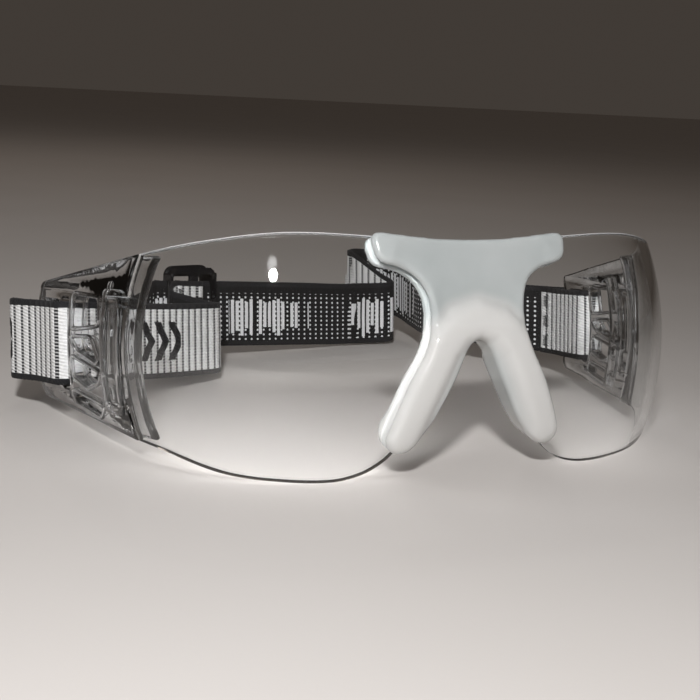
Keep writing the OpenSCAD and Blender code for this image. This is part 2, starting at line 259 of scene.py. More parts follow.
# %% [markdown]
# ## The camera
# A table-top view from the front left, looking down by about eleven and a half degrees,
# with a short telephoto lens, as for a catalogue shot. The goggles were drawn upright, so
# the camera is set in that frame and tipped with them.

# %% Place the camera
CAMERA_AT = (-147.1, -247.0, 52.6)
CAMERA_YAW = math.radians(25.17)
CAMERA_PITCH = math.radians(4.87)
camera_data = bpy.data.cameras.new("camera")
camera_data.lens = 66.86
camera_data.sensor_width = 36.0
camera = bpy.data.objects.new("camera", camera_data)
scene.collection.objects.link(camera)
scene.camera = camera
level = Vector((math.sin(CAMERA_YAW), math.cos(CAMERA_YAW), 0))
rise = Vector((0, 0, 1))
look = level * math.cos(CAMERA_PITCH) - rise * math.sin(CAMERA_PITCH)
over = level * math.sin(CAMERA_PITCH) + rise * math.cos(CAMERA_PITCH)
tip = Matrix.Rotation(-LIE, 3, "X")
axes = Matrix((tip @ look.cross(over), tip @ over, tip @ -look)).transposed()
camera.matrix_world = Matrix.Translation(lie(*CAMERA_AT)) @ axes.to_4x4()
print("camera at", [round(c, 3) for c in camera.location])

# %% [markdown]
# ## Clear polycarbonate
# The shield and the holders are moulded polycarbonate: index 1.585, almost no colour, and a
# polished skin with a little handling haze, so the eye sees it by its edges and glints. A
# clear solid in a path tracer throws a black shadow unless light can pass it. Tracing that
# light as caustics is slow and noisy, so the shader turns to plain transparency for shadow
# rays instead, and the table behind the shield stays bright.

# %% Clear polycarbonate material


def polycarbonate(name, tint, haze_low, haze_high, passes, ripple, ripple_mm, clarity=1.0):
    """Clear moulded plastic; passes is the share of light that a shadow keeps."""
    material, tree = new_material(name)
    where = node(tree, "ShaderNodeTexCoord").outputs["Object"]
    # Handling haze in soft patches about 20 mm across
    patches = node(tree, "ShaderNodeTexNoise", {"Vector": where, "Scale": per_metre(20), "Detail": 3.0})
    haze = node(tree, "ShaderNodeMapRange", {
        "Value": patches.outputs["Fac"], "From Min": 0.35, "From Max": 0.7,
        "To Min": haze_low, "To Max": haze_high})
    # Flow ripple left by the mould, wide on the shield and finer on small walls
    flow = node(tree, "ShaderNodeTexNoise", {"Vector": where, "Scale": per_metre(ripple_mm), "Detail": 1.0})
    bump = node(tree, "ShaderNodeBump", {
        "Height": flow.outputs["Fac"], "Strength": ripple, "Distance": 0.0004})
    plastic = node(tree, "ShaderNodeBsdfPrincipled", {
        "Base Color": linear(tint), "Roughness": haze.outputs["Result"], "IOR": 1.585,
        "Transmission Weight": clarity, "Normal": bump.outputs["Normal"]})
    clear = node(tree, "ShaderNodeBsdfTransparent", {"Color": linear(passes)})
    rays = node(tree, "ShaderNodeLightPath")
    mixed = node(tree, "ShaderNodeMixShader", {
        "Fac": rays.outputs["Is Shadow Ray"], 1: plastic.outputs["BSDF"], 2: clear.outputs["BSDF"]})
    node(tree, "ShaderNodeOutputMaterial", {"Surface": mixed.outputs["Shader"]})
    return material


shield_plastic = polycarbonate("polished_clear_polycarbonate", "#fafbfb", 0.0, 0.02, "#e6e6e6", 0.02, 8.33)
holder_plastic = polycarbonate("moulded_clear_polycarbonate", "#fcfdfe", 0.0, 0.02, "#d0d0d0", 0.15, 3.85)
# The trimmed edge is a little frosted. It is put only on the rim's upward faces, so its pale line is partly
# real frosting and partly a painted highlight
frosted_top_rim_plastic = polycarbonate("frosted_top_rim_polycarbonate", "#f4f6f8", 0.1, 0.2, "#828282", 0.2, 3.33, 0.45)
print("clear plastics:", shield_plastic.name, holder_plastic.name)

# %% [markdown]
# ## The shield
# One clear moulding, 2.2 mm thick. A sheet with a Solidify modifier would do, but its rim
# would be square and hard to round only where wanted. So two grids of points, the outer and
# the inner face, are walled along every open edge, and the rim is rounded after that: a
# real moulding has no knife edges, and its bright rim line comes from that rounding, and
# along the top from a pale frosted finish that paints in the lit edge.

# %% Tools for a walled grid


def walled_grid(columns, row_count, place, wanted):
    """A closed mesh of two grids; place(column, row, inner) gives a point in metres."""
    mesh = bmesh.new()
    grid = [[[mesh.verts.new(place(c, j, inner)) for j in range(row_count + 1)] for c in columns]
            for inner in (False, True)]
    cells = {(i, j) for i in range(len(columns) - 1) for j in range(row_count) if wanted(i, j)}
    for i, j in cells:
        ring = [(i, j), (i, j + 1), (i + 1, j + 1), (i + 1, j)]
        mesh.faces.new([grid[0][a][b] for a, b in ring])
        mesh.faces.new([grid[1][a][b] for a, b in reversed(ring)])
        beside = [(i - 1, j), (i, j + 1), (i + 1, j), (i, j - 1)]
        for k, other in enumerate(beside):
            if other not in cells:
                a, b = ring[k], ring[(k + 1) % 4]
                mesh.faces.new([grid[0][b[0]][b[1]], grid[0][a[0]][a[1]],
                                grid[1][a[0]][a[1]], grid[1][b[0]][b[1]]])
    loose = [v for v in mesh.verts if not v.link_faces]
    bmesh.ops.delete(mesh, geom=loose, context="VERTS")
    bmesh.ops.recalc_face_normals(mesh, faces=mesh.faces)
    return mesh


def rounded(mesh, amount, steps, angle):
    """Rounds the edges sharper than the angle."""
    sharp = [e for e in mesh.edges if e.is_manifold and e.calc_face_angle() > angle]
    bmesh.ops.bevel(mesh, geom=sharp, offset=amount * MM, segments=steps, profile=0.5,
                    affect="EDGES", clamp_overlap=True)


print("grid tools ready, for a wall of", SHIELD_T, "mm")

# %% [markdown]
# ## Rows and columns of the shield
# The grid's columns are even steps round the face. Its rows are shared between the part
# below the snap tab, the tab's height and the part above, so that the tab at each end is
# simply a few more columns of the middle rows.

# %% Lay out the shield's grid
TAB_H = 24.0
TAB_LEN = 9.0
COLUMN_STEP = 1.5
END_ROWS = 7
TAB_ROWS = 14
seam_low, seam_high = curve_at(LOW_EDGE, SEAM_S), curve_at(TOP_EDGE, SEAM_S)
tab_from = (MID_Z - TAB_H / 2 - seam_low) / (seam_high - seam_low)
tab_to = (MID_Z + TAB_H / 2 - seam_low) / (seam_high - seam_low)
ROWS = TAB_ROWS + 2 * END_ROWS


def row_share(j):
    """How far up its column a row lies; the middle rows meet the tab."""
    if j < END_ROWS:
        return tab_from * j / END_ROWS
    if j < END_ROWS + TAB_ROWS:
        return tab_from + (tab_to - tab_from) * (j - END_ROWS) / TAB_ROWS
    return tab_to + (1 - tab_to) * (j - END_ROWS - TAB_ROWS) / END_ROWS


half = [COLUMN_STEP * (i + 0.5) for i in range(int(SEAM_S / COLUMN_STEP))] + [SEAM_S]
half += [SEAM_S + TAB_LEN / 2, SEAM_S + TAB_LEN]
shield_columns = [-s for s in reversed(half)] + half


def shield_point(s, j, inner):
    """Column and row to place; towards its ends the shield is drawn in to the seam."""
    at = min(abs(s), SEAM_S)
    low = curve_at(LOW_EDGE, at)
    z = low + (curve_at(TOP_EDGE, at) - low) * row_share(j)
    pull = (SEAM_S - seam(z)) * (abs(s) / SEAM_S) ** 6 if abs(s) <= SEAM_S else 0.0
    return skin(s - math.copysign(pull, s), z, SHIELD_T if inner else 0.0)


def shield_cell(i, j):
    """Past the seam only the tab's rows are kept."""
    far = max(abs(shield_columns[i]), abs(shield_columns[i + 1])) > SEAM_S
    return not far or END_ROWS <= j < END_ROWS + TAB_ROWS


print("shield grid:", len(shield_columns), "columns and", ROWS + 1, "rows")

# %% Make the shield
RIM_ROUND = 0.85
SHARP = math.radians(50)
PALE_TOP_FROM = 0.45
made = walled_grid(shield_columns, ROWS, shield_point, shield_cell)
rounded(made, RIM_ROUND, 4, SHARP)
# Only the upward-facing rim gets the pale frosted finish, a painted highlight on a real trimmed edge; the
# rest is polished and clear, so the lower rim reads dark
upright = Vector((0, math.sin(LIE), math.cos(LIE)))
made.normal_update()
for face in made.faces:
    face.material_index = 1 if face.normal.dot(upright) > PALE_TOP_FROM else 0
shield_mesh = mesh_from(made, "lens_shield_clear")
shield = piece("lens_shield_clear", shield_mesh, [shield_plastic, frosted_top_rim_plastic])
weighted = shield.modifiers.new("flat faces keep their normals", "WEIGHTED_NORMAL")
weighted.keep_sharp = False
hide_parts("lens_shield")
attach(shield, "root")
print("shield:", len(shield_mesh.polygons), "faces")

# %% [markdown]
# ## Flat mouldings bent to the wall
# Holders, nose bridge and adjuster start as flat outlines with holes. Cutting holes with
# booleans would need a cutter for each and leave their edges sharp. A filled 2D curve does
# the outline, the holes and the rounded edge in one step.

# %% Outline tools


def arc(cx, cy, r, start, end, steps=8):
    """Points on an arc, in degrees."""
    angles = [math.radians(start + (end - start) * i / steps) for i in range(steps + 1)]
    return [(cx + r * math.cos(a), cy + r * math.sin(a)) for a in angles]


def grow(points, by):
    """Moves a closed outline outwards by a distance, or inwards where it is negative."""
    n = len(points)
    area = sum(a[0] * b[1] - b[0] * a[1] for a, b in zip(points, points[1:] + points[:1]))
    sign = 1 if area > 0 else -1
    out = []
    for i in range(n):
        a, b, c = (Vector(points[(i + k) % n]) for k in (-1, 0, 1))
        e1, e2 = (b - a).normalized(), (c - b).normalized()
        n1, n2 = Vector((e1.y, -e1.x)), Vector((e2.y, -e2.x))
        mid = (n1 + n2).normalized()
        out.append(tuple(b + mid * sign * by / max(0.5, mid.dot(n1))))
    return out


def soften(points, r, steps=4):
    """Rounds each corner of a closed outline with a short curve."""
    out = []
    n = len(points)
    for i in range(n):
        a, b, c = (Vector(points[(i + k) % n]) for k in (-1, 0, 1))
        start = b + (a - b).normalized() * min(r, (a - b).length * 0.45)
        end = b + (c - b).normalized() * min(r, (c - b).length * 0.45)
        for k in range(steps + 1):
            t = k / steps
            out.append(tuple(start * (1 - t) ** 2 + b * 2 * t * (1 - t) + end * t**2))
    return out


print("a softened square has", len(soften([(0, 0), (1, 0), (1, 1), (0, 1)], 0.2)), "points")

# %% [markdown]
# ## From a flat outline to a bent wall
# The flat mesh is sliced in strips, so that it can bend, and each point is then moved on to
# the bowed wall. A lattice or a curve modifier could bend it too, but it wouldn't follow
# the shield's formula exactly.

# %% Moulding tools


def flat_moulding(outline, holes, thick, edge, fine=3):
    """A closed flat mesh in mm: outline in X and Y, thickness along Z, with round edges."""
    data = bpy.data.curves.new("outline", "CURVE")
    data.dimensions = "2D"
    data.fill_mode = "BOTH"
    data.extrude = thick / 2 - edge
    data.bevel_depth = edge
    data.bevel_resolution = fine
    for ring in [grow(outline, -edge)] + [grow(h, edge) for h in holes]:
        spline = data.splines.new("POLY")
        spline.points.add(len(ring) - 1)
        for point, (x, y) in zip(spline.points, ring):
            point.co = (x, y, 0, 1)
        spline.use_cyclic_u = True
    thing = bpy.data.objects.new("outline", data)
    scene.collection.objects.link(thing)
    graph = bpy.context.evaluated_depsgraph_get()
    mesh = bpy.data.meshes.new_from_object(thing.evaluated_get(graph))
    bpy.data.objects.remove(thing)
    bpy.data.curves.remove(data)
    made = bmesh.new()
    made.from_mesh(mesh)
    bpy.data.meshes.remove(mesh)
    bmesh.ops.remove_doubles(made, verts=made.verts, dist=0.002)
    bmesh.ops.recalc_face_normals(made, faces=made.faces)
    return made


def sliced(made, axis, step):
    """Cuts a mesh in strips across one axis."""
    values = [v.co[axis] for v in made.verts]
    at = min(values) + step
    normal = [0, 0, 0]
    normal[axis] = 1
    while at < max(values) - step / 2:
        spot = [0, 0, 0]
        spot[axis] = at
        geometry = made.verts[:] + made.edges[:] + made.faces[:]
        bmesh.ops.bisect_plane(made, geom=geometry, dist=0.0005, plane_co=spot, plane_no=normal)
        at += step
    return made


def settled(made, place):
    """Moves each point to where place(x, y, z) says, and turns the faces outwards."""
    for v in made.verts:
        v.co = place(*v.co)
    bmesh.ops.triangulate(made, faces=[f for f in made.faces if len(f.verts) > 4])
    bmesh.ops.recalc_face_normals(made, faces=made.faces)
    return made


print("moulding tools ready")

# %% [markdown]
# ## The strap holders
# Each holder is one clear moulding that carries the strap on a wide bar. Its outline meets
# the shield along the seam, with a small gap, and its vents are slanted openings between
# ribs, each a few corners with a short curve at every one.

# %% Outlines of the holders
HOLDER_WALL = 3.2
BAR_LEN = 14.0
SLOT_W = 4.4
SEAM_GAP = 0.4
STRAP_W = 20.0
SLOT_S = REAR_S - BAR_LEN - SLOT_W
WEB_S = SEAM_S + TAB_LEN + 3
VENT_S = SLOT_S - 3


def seam_line_at(front, z):
    """The holder's front edge, clear of the shield's, which still turns here."""
    return seam(z) + front - SEAM_S + SEAM_GAP + SHIELD_T * math.sin((CORNER_END - seam(z)) / CORNER_R)


def holder_outline(front):
    """The holder's whole outline, from a front edge at this arc length."""
    low, high = curve_at(LOW_EDGE, front), curve_at(TOP_EDGE, front)
    heights = [low + (high - low) * i / 12 for i in range(12, -1, -1)]
    seam_line = [(seam_line_at(front, z), z) for z in heights]
    rear_low, rear_high = curve_at(LOW_EDGE, REAR_S), curve_at(TOP_EDGE, REAR_S)
    return (seam_line + arc(REAR_S - 4, rear_low + 4, 4, -80, 0)
            + arc(REAR_S - 2, rear_high - 2, 2, 0, 80))


vents = [
    [(WEB_S, MID_Z + 5.5), (WEB_S + 1, MID_Z + 11), (VENT_S, MID_Z + 11.5), (VENT_S, MID_Z + 4)],
    [(WEB_S, MID_Z - 3.4), (WEB_S + 4, MID_Z + 1.8), (VENT_S, MID_Z + 1.4), (VENT_S - 3, MID_Z - 0.8)],
    [(WEB_S, MID_Z - 5.8), (VENT_S, MID_Z - 3.2), (VENT_S, MID_Z - 7.4), (VENT_S - 8, MID_Z - 9.6),
     (WEB_S + 0.5, MID_Z - 7.6)],
    [(WEB_S, MID_Z - 13.5), (VENT_S + 1, MID_Z - 11.3), (VENT_S + 1, MID_Z - 13.5),
     (WEB_S + 2, MID_Z - 15.9)]]
vents = [soften(v, 1.4) for v in vents]
slot_hole = soften([(SLOT_S, MID_Z - 11), (SLOT_S + SLOT_W, MID_Z - 11),
                    (SLOT_S + SLOT_W, MID_Z + 11), (SLOT_S, MID_Z + 11)], 1.2)
pocket_hole = soften([(SEAM_S + 3.5, MID_Z - 6), (SEAM_S + 7.5, MID_Z - 6),
                      (SEAM_S + 7.5, MID_Z + 10), (SEAM_S + 3.5, MID_Z + 10)], 0.8)


def box_outline(s0, s1, z0, z1, r):
    """A rectangle with softened corners."""
    return soften([(s0, z0), (s1, z0), (s1, z1), (s0, z1)], r)


print("vents in each holder:", len(vents))

# %% [markdown]
# ## The holders in layers
# One solid could be carved with booleans, but thin rims on a curved wall come out ragged.
# The holder is built in layers instead, which overlap a little: the wall with its vents and
# slot, raised rims round the vents, a frame round the tab's pocket and a lip behind the
# shield. Where light crosses many small clear walls it breaks into the busy sparkle that
# such a part shows.

# %% Make the holders
LIP_T = 1.7
LIP_BEHIND = 1.25
SLICE = 2.5


def layers():
    """The holder's layers: outline, holes, front depth, back depth, edge rounding."""
    wall = holder_outline(SEAM_S)
    yield wall, vents + [slot_hole, pocket_hole], 0.0, HOLDER_WALL, 0.45
    for v in vents:
        yield grow(v, 1.1), [grow(v, 0.05)], -0.45, 0.6, 0.3
        yield grow(v, 0.9), [grow(v, 0.05)], HOLDER_WALL - 0.5, HOLDER_WALL + 0.6, 0.3
    yield (box_outline(SEAM_S + 1.2, SEAM_S + 10.6, MID_Z - 14.5, MID_Z + 13.5, 1.2),
           [box_outline(SEAM_S + 3.2, SEAM_S + 8.2, MID_Z - 12.3, MID_Z + 11.3, 0.8)], -0.5, 0.9, 0.35)
    yield (box_outline(SEAM_S + 9.2, SEAM_S + 11.8, MID_Z - 16.5, MID_Z + 15.5, 0.9), [],
           HOLDER_WALL - 0.6, HOLDER_WALL + 2.2, 0.6)
    yield (box_outline(SLOT_S + SLOT_W + 1.2, REAR_S - 2.2, MID_Z - 10.4, MID_Z + 10.4, 1.2), [],
           -0.02, 0.2, 0.08)


def lip_outline():
    """A strip along the holder's front edge that reaches behind the shield."""
    outline = holder_outline(SEAM_S - 3.5)
    cut = SEAM_S + 2.4
    front = [p for p in outline if p[0] < cut]
    top, bottom = max(p[1] for p in front), min(p[1] for p in front)
    return front + [(cut, bottom + 0.6), (cut, top - 0.6)]


def lip_depth(s):
    """The lip stays behind the shield, which still turns here."""
    before = max(0.0, CORNER_END - s)
    return before**2 / (2 * CORNER_R)


def holder(side):
    """One holder, its layers moved on to the temple wall on this side."""
    whole = bmesh.new()
    for outline, holes, front, back, edge in layers():
        made = flat_moulding(outline, holes, back - front, edge, 2)
        middle = (front + back) / 2
        settled(sliced(made, 1, SLICE), lambda x, y, z: temple(side, x, y, middle + z))
        join_on(whole, made)
    made = flat_moulding(lip_outline(), [], LIP_T, 0.8, 3)
    settled(sliced(sliced(made, 1, SLICE), 0, 1.5),
            lambda x, y, z: temple(side, x, y, SHIELD_T + LIP_BEHIND + lip_depth(x) + z))
    join_on(whole, made)
    name = "side_bracket_left" if side < 0 else "side_bracket_right"
    mesh = mesh_from(whole, name + "_clear")
    thing = piece(name + "_clear", mesh, [holder_plastic])
    mesh.set_sharp_from_angle(angle=math.radians(40))
    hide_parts(name)
    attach(thing, "root")
    print(thing.name, len(mesh.polygons), "faces")


for side in (-1, 1):
    holder(side)

# %% [markdown]
# ## Milky silicone
# The nose bridge is soft silicone, moulded milky and glossy. The eye sees a cloudy white
# with light inside it where it is thick, and greyer where it is thin. A little subsurface
# light does that. Full transmission would be truer for the thin parts, but it is noisy, so
# an attribute on the mesh, written when the ridge is pushed out, whitens the thick parts.

# %% Silicone material
milky, tree = new_material("milky_moulded_silicone")
where = node(tree, "ShaderNodeTexCoord").outputs["Object"]
# The raised ridge is thick and white; the flat panel is thin and greyer
raised = node(tree, "ShaderNodeAttribute", attribute_name="raised").outputs["Fac"]
# Cloudy patches in the silicone
cloud = node(tree, "ShaderNodeTexNoise", {
    "Vector": where, "Scale": per_metre(15.4), "Detail": 2.0, "Roughness": 0.4})
body_colour = node(tree, "ShaderNodeValToRGB", {"Fac": cloud.outputs["Fac"]})
body_colour.color_ramp.elements[0].position = 0.3
body_colour.color_ramp.elements[0].color = linear("#a8adad")
body_colour.color_ramp.elements[1].position = 0.7
body_colour.color_ramp.elements[1].color = linear("#b8bcbc")
thick_colour = node(tree, "ShaderNodeMix", {0: raised, 6: body_colour.outputs["Color"], 7: linear("#d0cfcd")},
                    data_type="RGBA")
# Slight waviness of a soft skin
wavy = node(tree, "ShaderNodeTexNoise", {"Vector": where, "Scale": per_metre(4.17), "Detail": 1.0})
bump = node(tree, "ShaderNodeBump", {"Height": wavy.outputs["Fac"], "Strength": 0.12, "Distance": 0.0005})
gloss = node(tree, "ShaderNodeMapRange", {
    "Value": cloud.outputs["Fac"], "From Min": 0.3, "From Max": 0.7, "To Min": 0.1, "To Max": 0.18})
silicone = node(tree, "ShaderNodeBsdfPrincipled", {
    "Base Color": thick_colour.outputs[2], "Roughness": gloss.outputs["Result"], "IOR": 1.41,
    "Subsurface Weight": 0.5, "Subsurface Scale": 0.004, "Subsurface Radius": (1.0, 1.0, 1.0),
    "Transmission Weight": 0.04, "Normal": bump.outputs["Normal"]})
node(tree, "ShaderNodeOutputMaterial", {"Surface": silicone.outputs["BSDF"]})
print("material:", milky.name)

# %% [markdown]
# ## The nose bridge
# A T over the shield's top edge with two legs, grooved for the edge. It could be sculpted,
# but a rule is easier to change: the outline is drawn once, a groove is cut for the shield,
# and a fine voxel remesh turns it into an even skin. That skin is then pushed out in soft
# ridges, one that arches over the nose and runs down both legs, and a pad behind each leg.

# %% Outline of the nose bridge
NOSE_FRONT_T = 2.0
NOSE_BACK_T = 3.4
GROOVE_PLAY = 0.3
LEG_Z = 6.4
BROW_HALF = 24.6
BROW_Z = curve_at(TOP_EDGE, 0) + 1.4
nose_half = [
    (0, BROW_Z), (8, BROW_Z + 0.2), (16, BROW_Z + 0.9), (BROW_HALF - 1.5, BROW_Z + 1.7),
    (BROW_HALF, BROW_Z + 0.6), (BROW_HALF - 0.6, BROW_Z - 3.4), (BROW_HALF - 2, BROW_Z - 4.8),
    (BROW_HALF - 6.8, BROW_Z - 5.8), (14.2, BROW_Z - 8), (12.1, BROW_Z - 11.6), (11.6, BROW_Z - 15.4),
    (12.1, ARCH_Z + 1), (13.6, ARCH_Z - 3), (17, LEG_Z + 15.6), (20.2, LEG_Z + 8),
    (21.9, LEG_Z + 3.4), (21.2, LEG_Z + 0.9), (19.4, LEG_Z - 0.2), (17, LEG_Z),
    (14.4, LEG_Z + 1.8), (10.4, LEG_Z + 7.2), (5.9, LEG_Z + 15.6), (3.2, ARCH_Z - 2.4),
    (1.6, ARCH_Z - 0.5), (0, ARCH_Z)]
nose_outline = soften(nose_half + [(-x, z) for x, z in reversed(nose_half[1:-1])], 1.6, 3)
groove_x = [-28 + i for i in range(57)]
groove = ([(x, curve_at(LOW_EDGE, abs(x)) - 0.3) for x in groove_x]
          + [(x, curve_at(TOP_EDGE, abs(x)) + 0.1) for x in reversed(groove_x)])
ridge = [(0, 35.0), (5.2, 33.6), (9.2, 29.4), (12.4, 23.0), (15.6, 16.4), (18.2, 10.6)]
panel = [(0, 46.5), (14.0, 47.0), (7.5, 45.0), (5.5, 40.0), (0, 40.0)]
pad = [(8.6, 26.0), (11.4, 20.0), (14.6, 13.6), (17.0, 10.0)]


print("nose outline:", len(nose_outline), "points")

# %% Distance and hump helpers


def distance(point, line):
    """From a point to a chain of straight pieces."""
    best = 1e9
    for a, b in zip(line, line[1:]):
        a, b = Vector(a), Vector(b)
        t = max(0.0, min(1.0, (point - a).dot(b - a) / (b - a).length_squared))
        best = min(best, (point - a - (b - a) * t).length)
    return best


def swell(distance_mm, half_width):
    """A smooth hump: 1 on the line, 0 from half_width on."""
    t = max(0.0, 1 - (distance_mm / half_width) ** 2)
    return t * t * (3 - 2 * t)


print("a hump at half its width:", swell(2.0, 4.0))

# %% Cut the groove and even the skin
nose_thick = NOSE_FRONT_T + SHIELD_T + NOSE_BACK_T
made = flat_moulding(nose_outline, [], nose_thick, 0.2, 1)
nose = piece("nose_bridge_silicone", mesh_from(made, "nose_bridge_silicone"), [milky])
cutter_mesh = mesh_from(flat_moulding(groove, [], SHIELD_T + GROOVE_PLAY, 0.05, 0), "groove")
for v in cutter_mesh.vertices:
    v.co.z += NOSE_BACK_T / 2 - NOSE_FRONT_T / 2
cutter = bpy.data.objects.new("groove", cutter_mesh)
scene.collection.objects.link(cutter)
cut = nose.modifiers.new("groove", "BOOLEAN")
cut.object = cutter
cut.operation = "DIFFERENCE"
cut.solver = "EXACT"
bake_modifiers(nose)
bpy.data.objects.remove(cutter)
remesh = nose.modifiers.new("even skin", "REMESH")
remesh.mode = "VOXEL"
remesh.voxel_size = 0.45
soft = nose.modifiers.new("soft", "SMOOTH")
soft.iterations = 6
soft.factor = 0.5
bake_modifiers(nose)
print("even skin:", len(nose.data.vertices), "points")

# %% Push out the ridges
RIDGE_RISE, RIDGE_HALF = 1.3, 4.8
PANEL_DIP, PANEL_HALF = 0.6, 7.0
PAD_RISE, PAD_HALF = 2.4, 5.0
WHITE_HALF = 7.0
rim = []
for a, b in zip(nose_outline, nose_outline[1:] + nose_outline[:1]):
    pieces = max(1, round((Vector(b) - Vector(a)).length / 0.2))
    rim += [Vector(a).lerp(Vector(b), k / pieces) for k in range(pieces)]
rim_tree = KDTree(len(rim))
for i, p in enumerate(rim):
    rim_tree.insert((p.x, p.y, 0), i)
rim_tree.balance()


def rounded_off(reach, radius, inside):
    """How much of a lip's height is left, a distance inside its rounded edge."""
    if inside >= radius:
        return 1.0
    return (reach - radius + math.sqrt(radius**2 - (radius - inside) ** 2)) / reach


def nose_place(x, y, z):
    """Flat drawing to place: z is towards the front, the ridges push it out."""
    spot = Vector((abs(x), y))
    inside = rim_tree.find((x, y, 0))[2]
    depth = (SHIELD_T + NOSE_BACK_T - NOSE_FRONT_T) / 2 - z
    if depth < 0:
        depth *= rounded_off(NOSE_FRONT_T, 1.1, inside)
    elif depth > SHIELD_T:
        depth = SHIELD_T + (depth - SHIELD_T) * rounded_off(NOSE_BACK_T, 2.2, inside)
    if depth < 0.4:
        depth -= RIDGE_RISE * swell(distance(spot, ridge), RIDGE_HALF) * min(1.0, (0.4 - depth) / 1.4)
        depth += PANEL_DIP * swell(distance(spot, panel), PANEL_HALF) * min(1.0, max(0.0, -depth))
    elif depth > 2.6:
        depth += PAD_RISE * swell(distance(spot, pad), PAD_HALF) * min(1.0, (depth - 2.6) / 1.6)
    return skin(x, y, depth)


whiteness = []
for v in nose.data.vertices:
    spot = Vector((abs(v.co.x), v.co.y))
    whiteness.append(swell(distance(spot, ridge), WHITE_HALF))
    v.co = nose_place(*v.co)
nose.data.attributes.new("raised", "FLOAT", "POINT").data.foreach_set("value", whiteness)
nose.data.shade_smooth()
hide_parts("nose_bridge")
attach(nose, "root")
print("nose bridge:", len(nose.data.polygons), "faces")

# %% [markdown]
# ## The strap's route
# The strap is one woven elastic band, 20 mm wide, that stands on its edge. Cloth simulation
# would let it fall over, so its route is a short list of points in plan, each
# with its height. It starts at the sewn tail in the right holder, folds over itself behind,
# passes through the adjuster, turns round the left holder's bar and comes back to the
# adjuster. Where it meets a holder or the adjuster, the points come from their sizes.

# %% Strap beside the holders
STRAP_T = 1.3
SOFT_GAP = 0.3
STRAP_Z = MID_Z - 0.2
SLIP = 0.2
BAR_T = 1.8
MIDDLE_BAR_W = 3.0
strap_inset = BOW_R * (1 - math.cos(math.asin(STRAP_W / 2 / BOW_R)))
OUT_D = -STRAP_T / 2 - SOFT_GAP - 0.2
IN_D = HOLDER_WALL + STRAP_T / 2 + SOFT_GAP + strap_inset + 0.6
SLOT_MID = SLOT_S + SLOT_W / 2


def beside(side, s, d, z):
    """A plan point beside a holder's wall, by arc length and depth."""
    x, y, turn = plan(s)
    return Vector((side * (x - math.sin(CORNER_TURN) * d), y + math.cos(CORNER_TURN) * d, z))


def bar_wrap(side):
    """From behind the holder, along its outside and in through the slot."""
    stops = [(REAR_S + 9.2, -2.25), (REAR_S + 5.1, -3.8), (REAR_S - 3, OUT_D - 0.4),
             (SLOT_MID + 4.4, OUT_D), (SLOT_MID + 1.1, OUT_D + 0.15), (SLOT_MID, HOLDER_WALL / 2),
             (SLOT_MID + 1.2, IN_D - 0.6), (SLOT_MID + 4.4, IN_D)]
    return [beside(side, s, d, STRAP_Z) for s, d in stops]


left_wrap = bar_wrap(-1)
print("points round each holder's bar:", len(left_wrap))

# %% Strap beside the adjuster
SLIDE_AT = Vector((-26, 127.6, 30.4))
RUN_END = Vector((31, 139.26, 28.35))
run_way = (RUN_END - SLIDE_AT).normalized()
run_side = Vector((-run_way.y, run_way.x, 0)).normalized()


def at_bar(u, d):
    """In the adjuster's plan: along the run, and away from the front of the strap."""
    return SLIDE_AT + run_way * u + run_side * d


half_slot = STRAP_T / 2 + SLIP
centre_bar = -half_slot - STRAP_T - SLIP - BAR_T
wrap_front = centre_bar - SLIP - STRAP_T / 2
wrap_back = -STRAP_T - SLIP
wrap_out = MIDDLE_BAR_W / 2 + 1.3
print("middle bar stands", round(-centre_bar, 2), "mm in front of the strap's middle")

# %% The whole route
TAIL_FROM = IN_D + 0.2
TAIL_TO = 7.3
TAIL_LEN = 6.4
right_tail = [beside(1, REAR_S + 2 + TAIL_LEN, TAIL_TO, 28.2), beside(1, REAR_S + 2, TAIL_FROM, STRAP_Z)]
right_tail += bar_wrap(1)[::-1]
folds = [(80.8, 89.2, 28), (77, 88, 28.2), (68, 97.5, 29), (60, 109, 30.5), (53.5, 123, 32), (56.5, 137, 33),
         (57.5, 149, 35.5), (54, 158.5, 38.6), (48, 160.5, 39.6), (43, 157.5, 39.4), (43.4, 151.5, 37),
         (48, 145.4, 31.6), (50.4, 141.6, 29.2), (48, 140.6, 28.4)]
run = [(42, 141.2, 28.2), RUN_END, at_bar(45, 0), at_bar(30, 0), at_bar(15, 0), SLIDE_AT, at_bar(-9.5, 0),
       at_bar(-13, 0)]
left_way = [(-43, 121.6, 28.6), (-54, 116.2, 26.6), (-66, 108, 26), (-75.5, 99.5, 26.4), (-81.4, 92, 27.4)]
near_leg = [(-70, 70.2, 27.2), (-58, 78.2, 26.4), (-44, 88, 25.5), (-32, 96, 25), (-27.6, 98.6, 24.9)]
fold_back = [(-25, 101.4, 24.9), (-26.8, 104.6, 25.1), (-31, 109, 26.4), (-35.4, 114.4, 28.2)]
end_loop = [at_bar(-9, wrap_front - 2), at_bar(-4.5, wrap_front - 0.7), at_bar(-1, wrap_front),
            at_bar(0.8, wrap_front - 0.1), at_bar(wrap_out - 0.3, wrap_front + 0.8),
            at_bar(wrap_out, (wrap_front + wrap_back) / 2), at_bar(wrap_out - 0.3, wrap_back - 0.7),
            at_bar(0.8, wrap_back), at_bar(-1.4, wrap_back), at_bar(-5, wrap_back - 1.4),
            at_bar(-9.5, wrap_back - 3.2)]
stretches = [right_tail, folds, run + left_way, left_wrap, near_leg, fold_back, end_loop]
route = [Vector(p) for stretch in stretches for p in stretch]
joins = [len(right_tail) + 1]
joins.append(len(right_tail) + len(folds) + len(run) + len(left_way))
joins.append(joins[1] + len(left_wrap) + len(near_leg))
joins.append(joins[2] + len(fold_back))
print("route points:", len(route), "joins at", joins)

# %% [markdown]
# ## A smooth route, measured
# A spline through the points makes the route smooth. It is walked in fine steps, and the
# length walked so far is kept at each one, because the weave and the ribs are laid out by
# distance along the strap.

# %% Walk the route


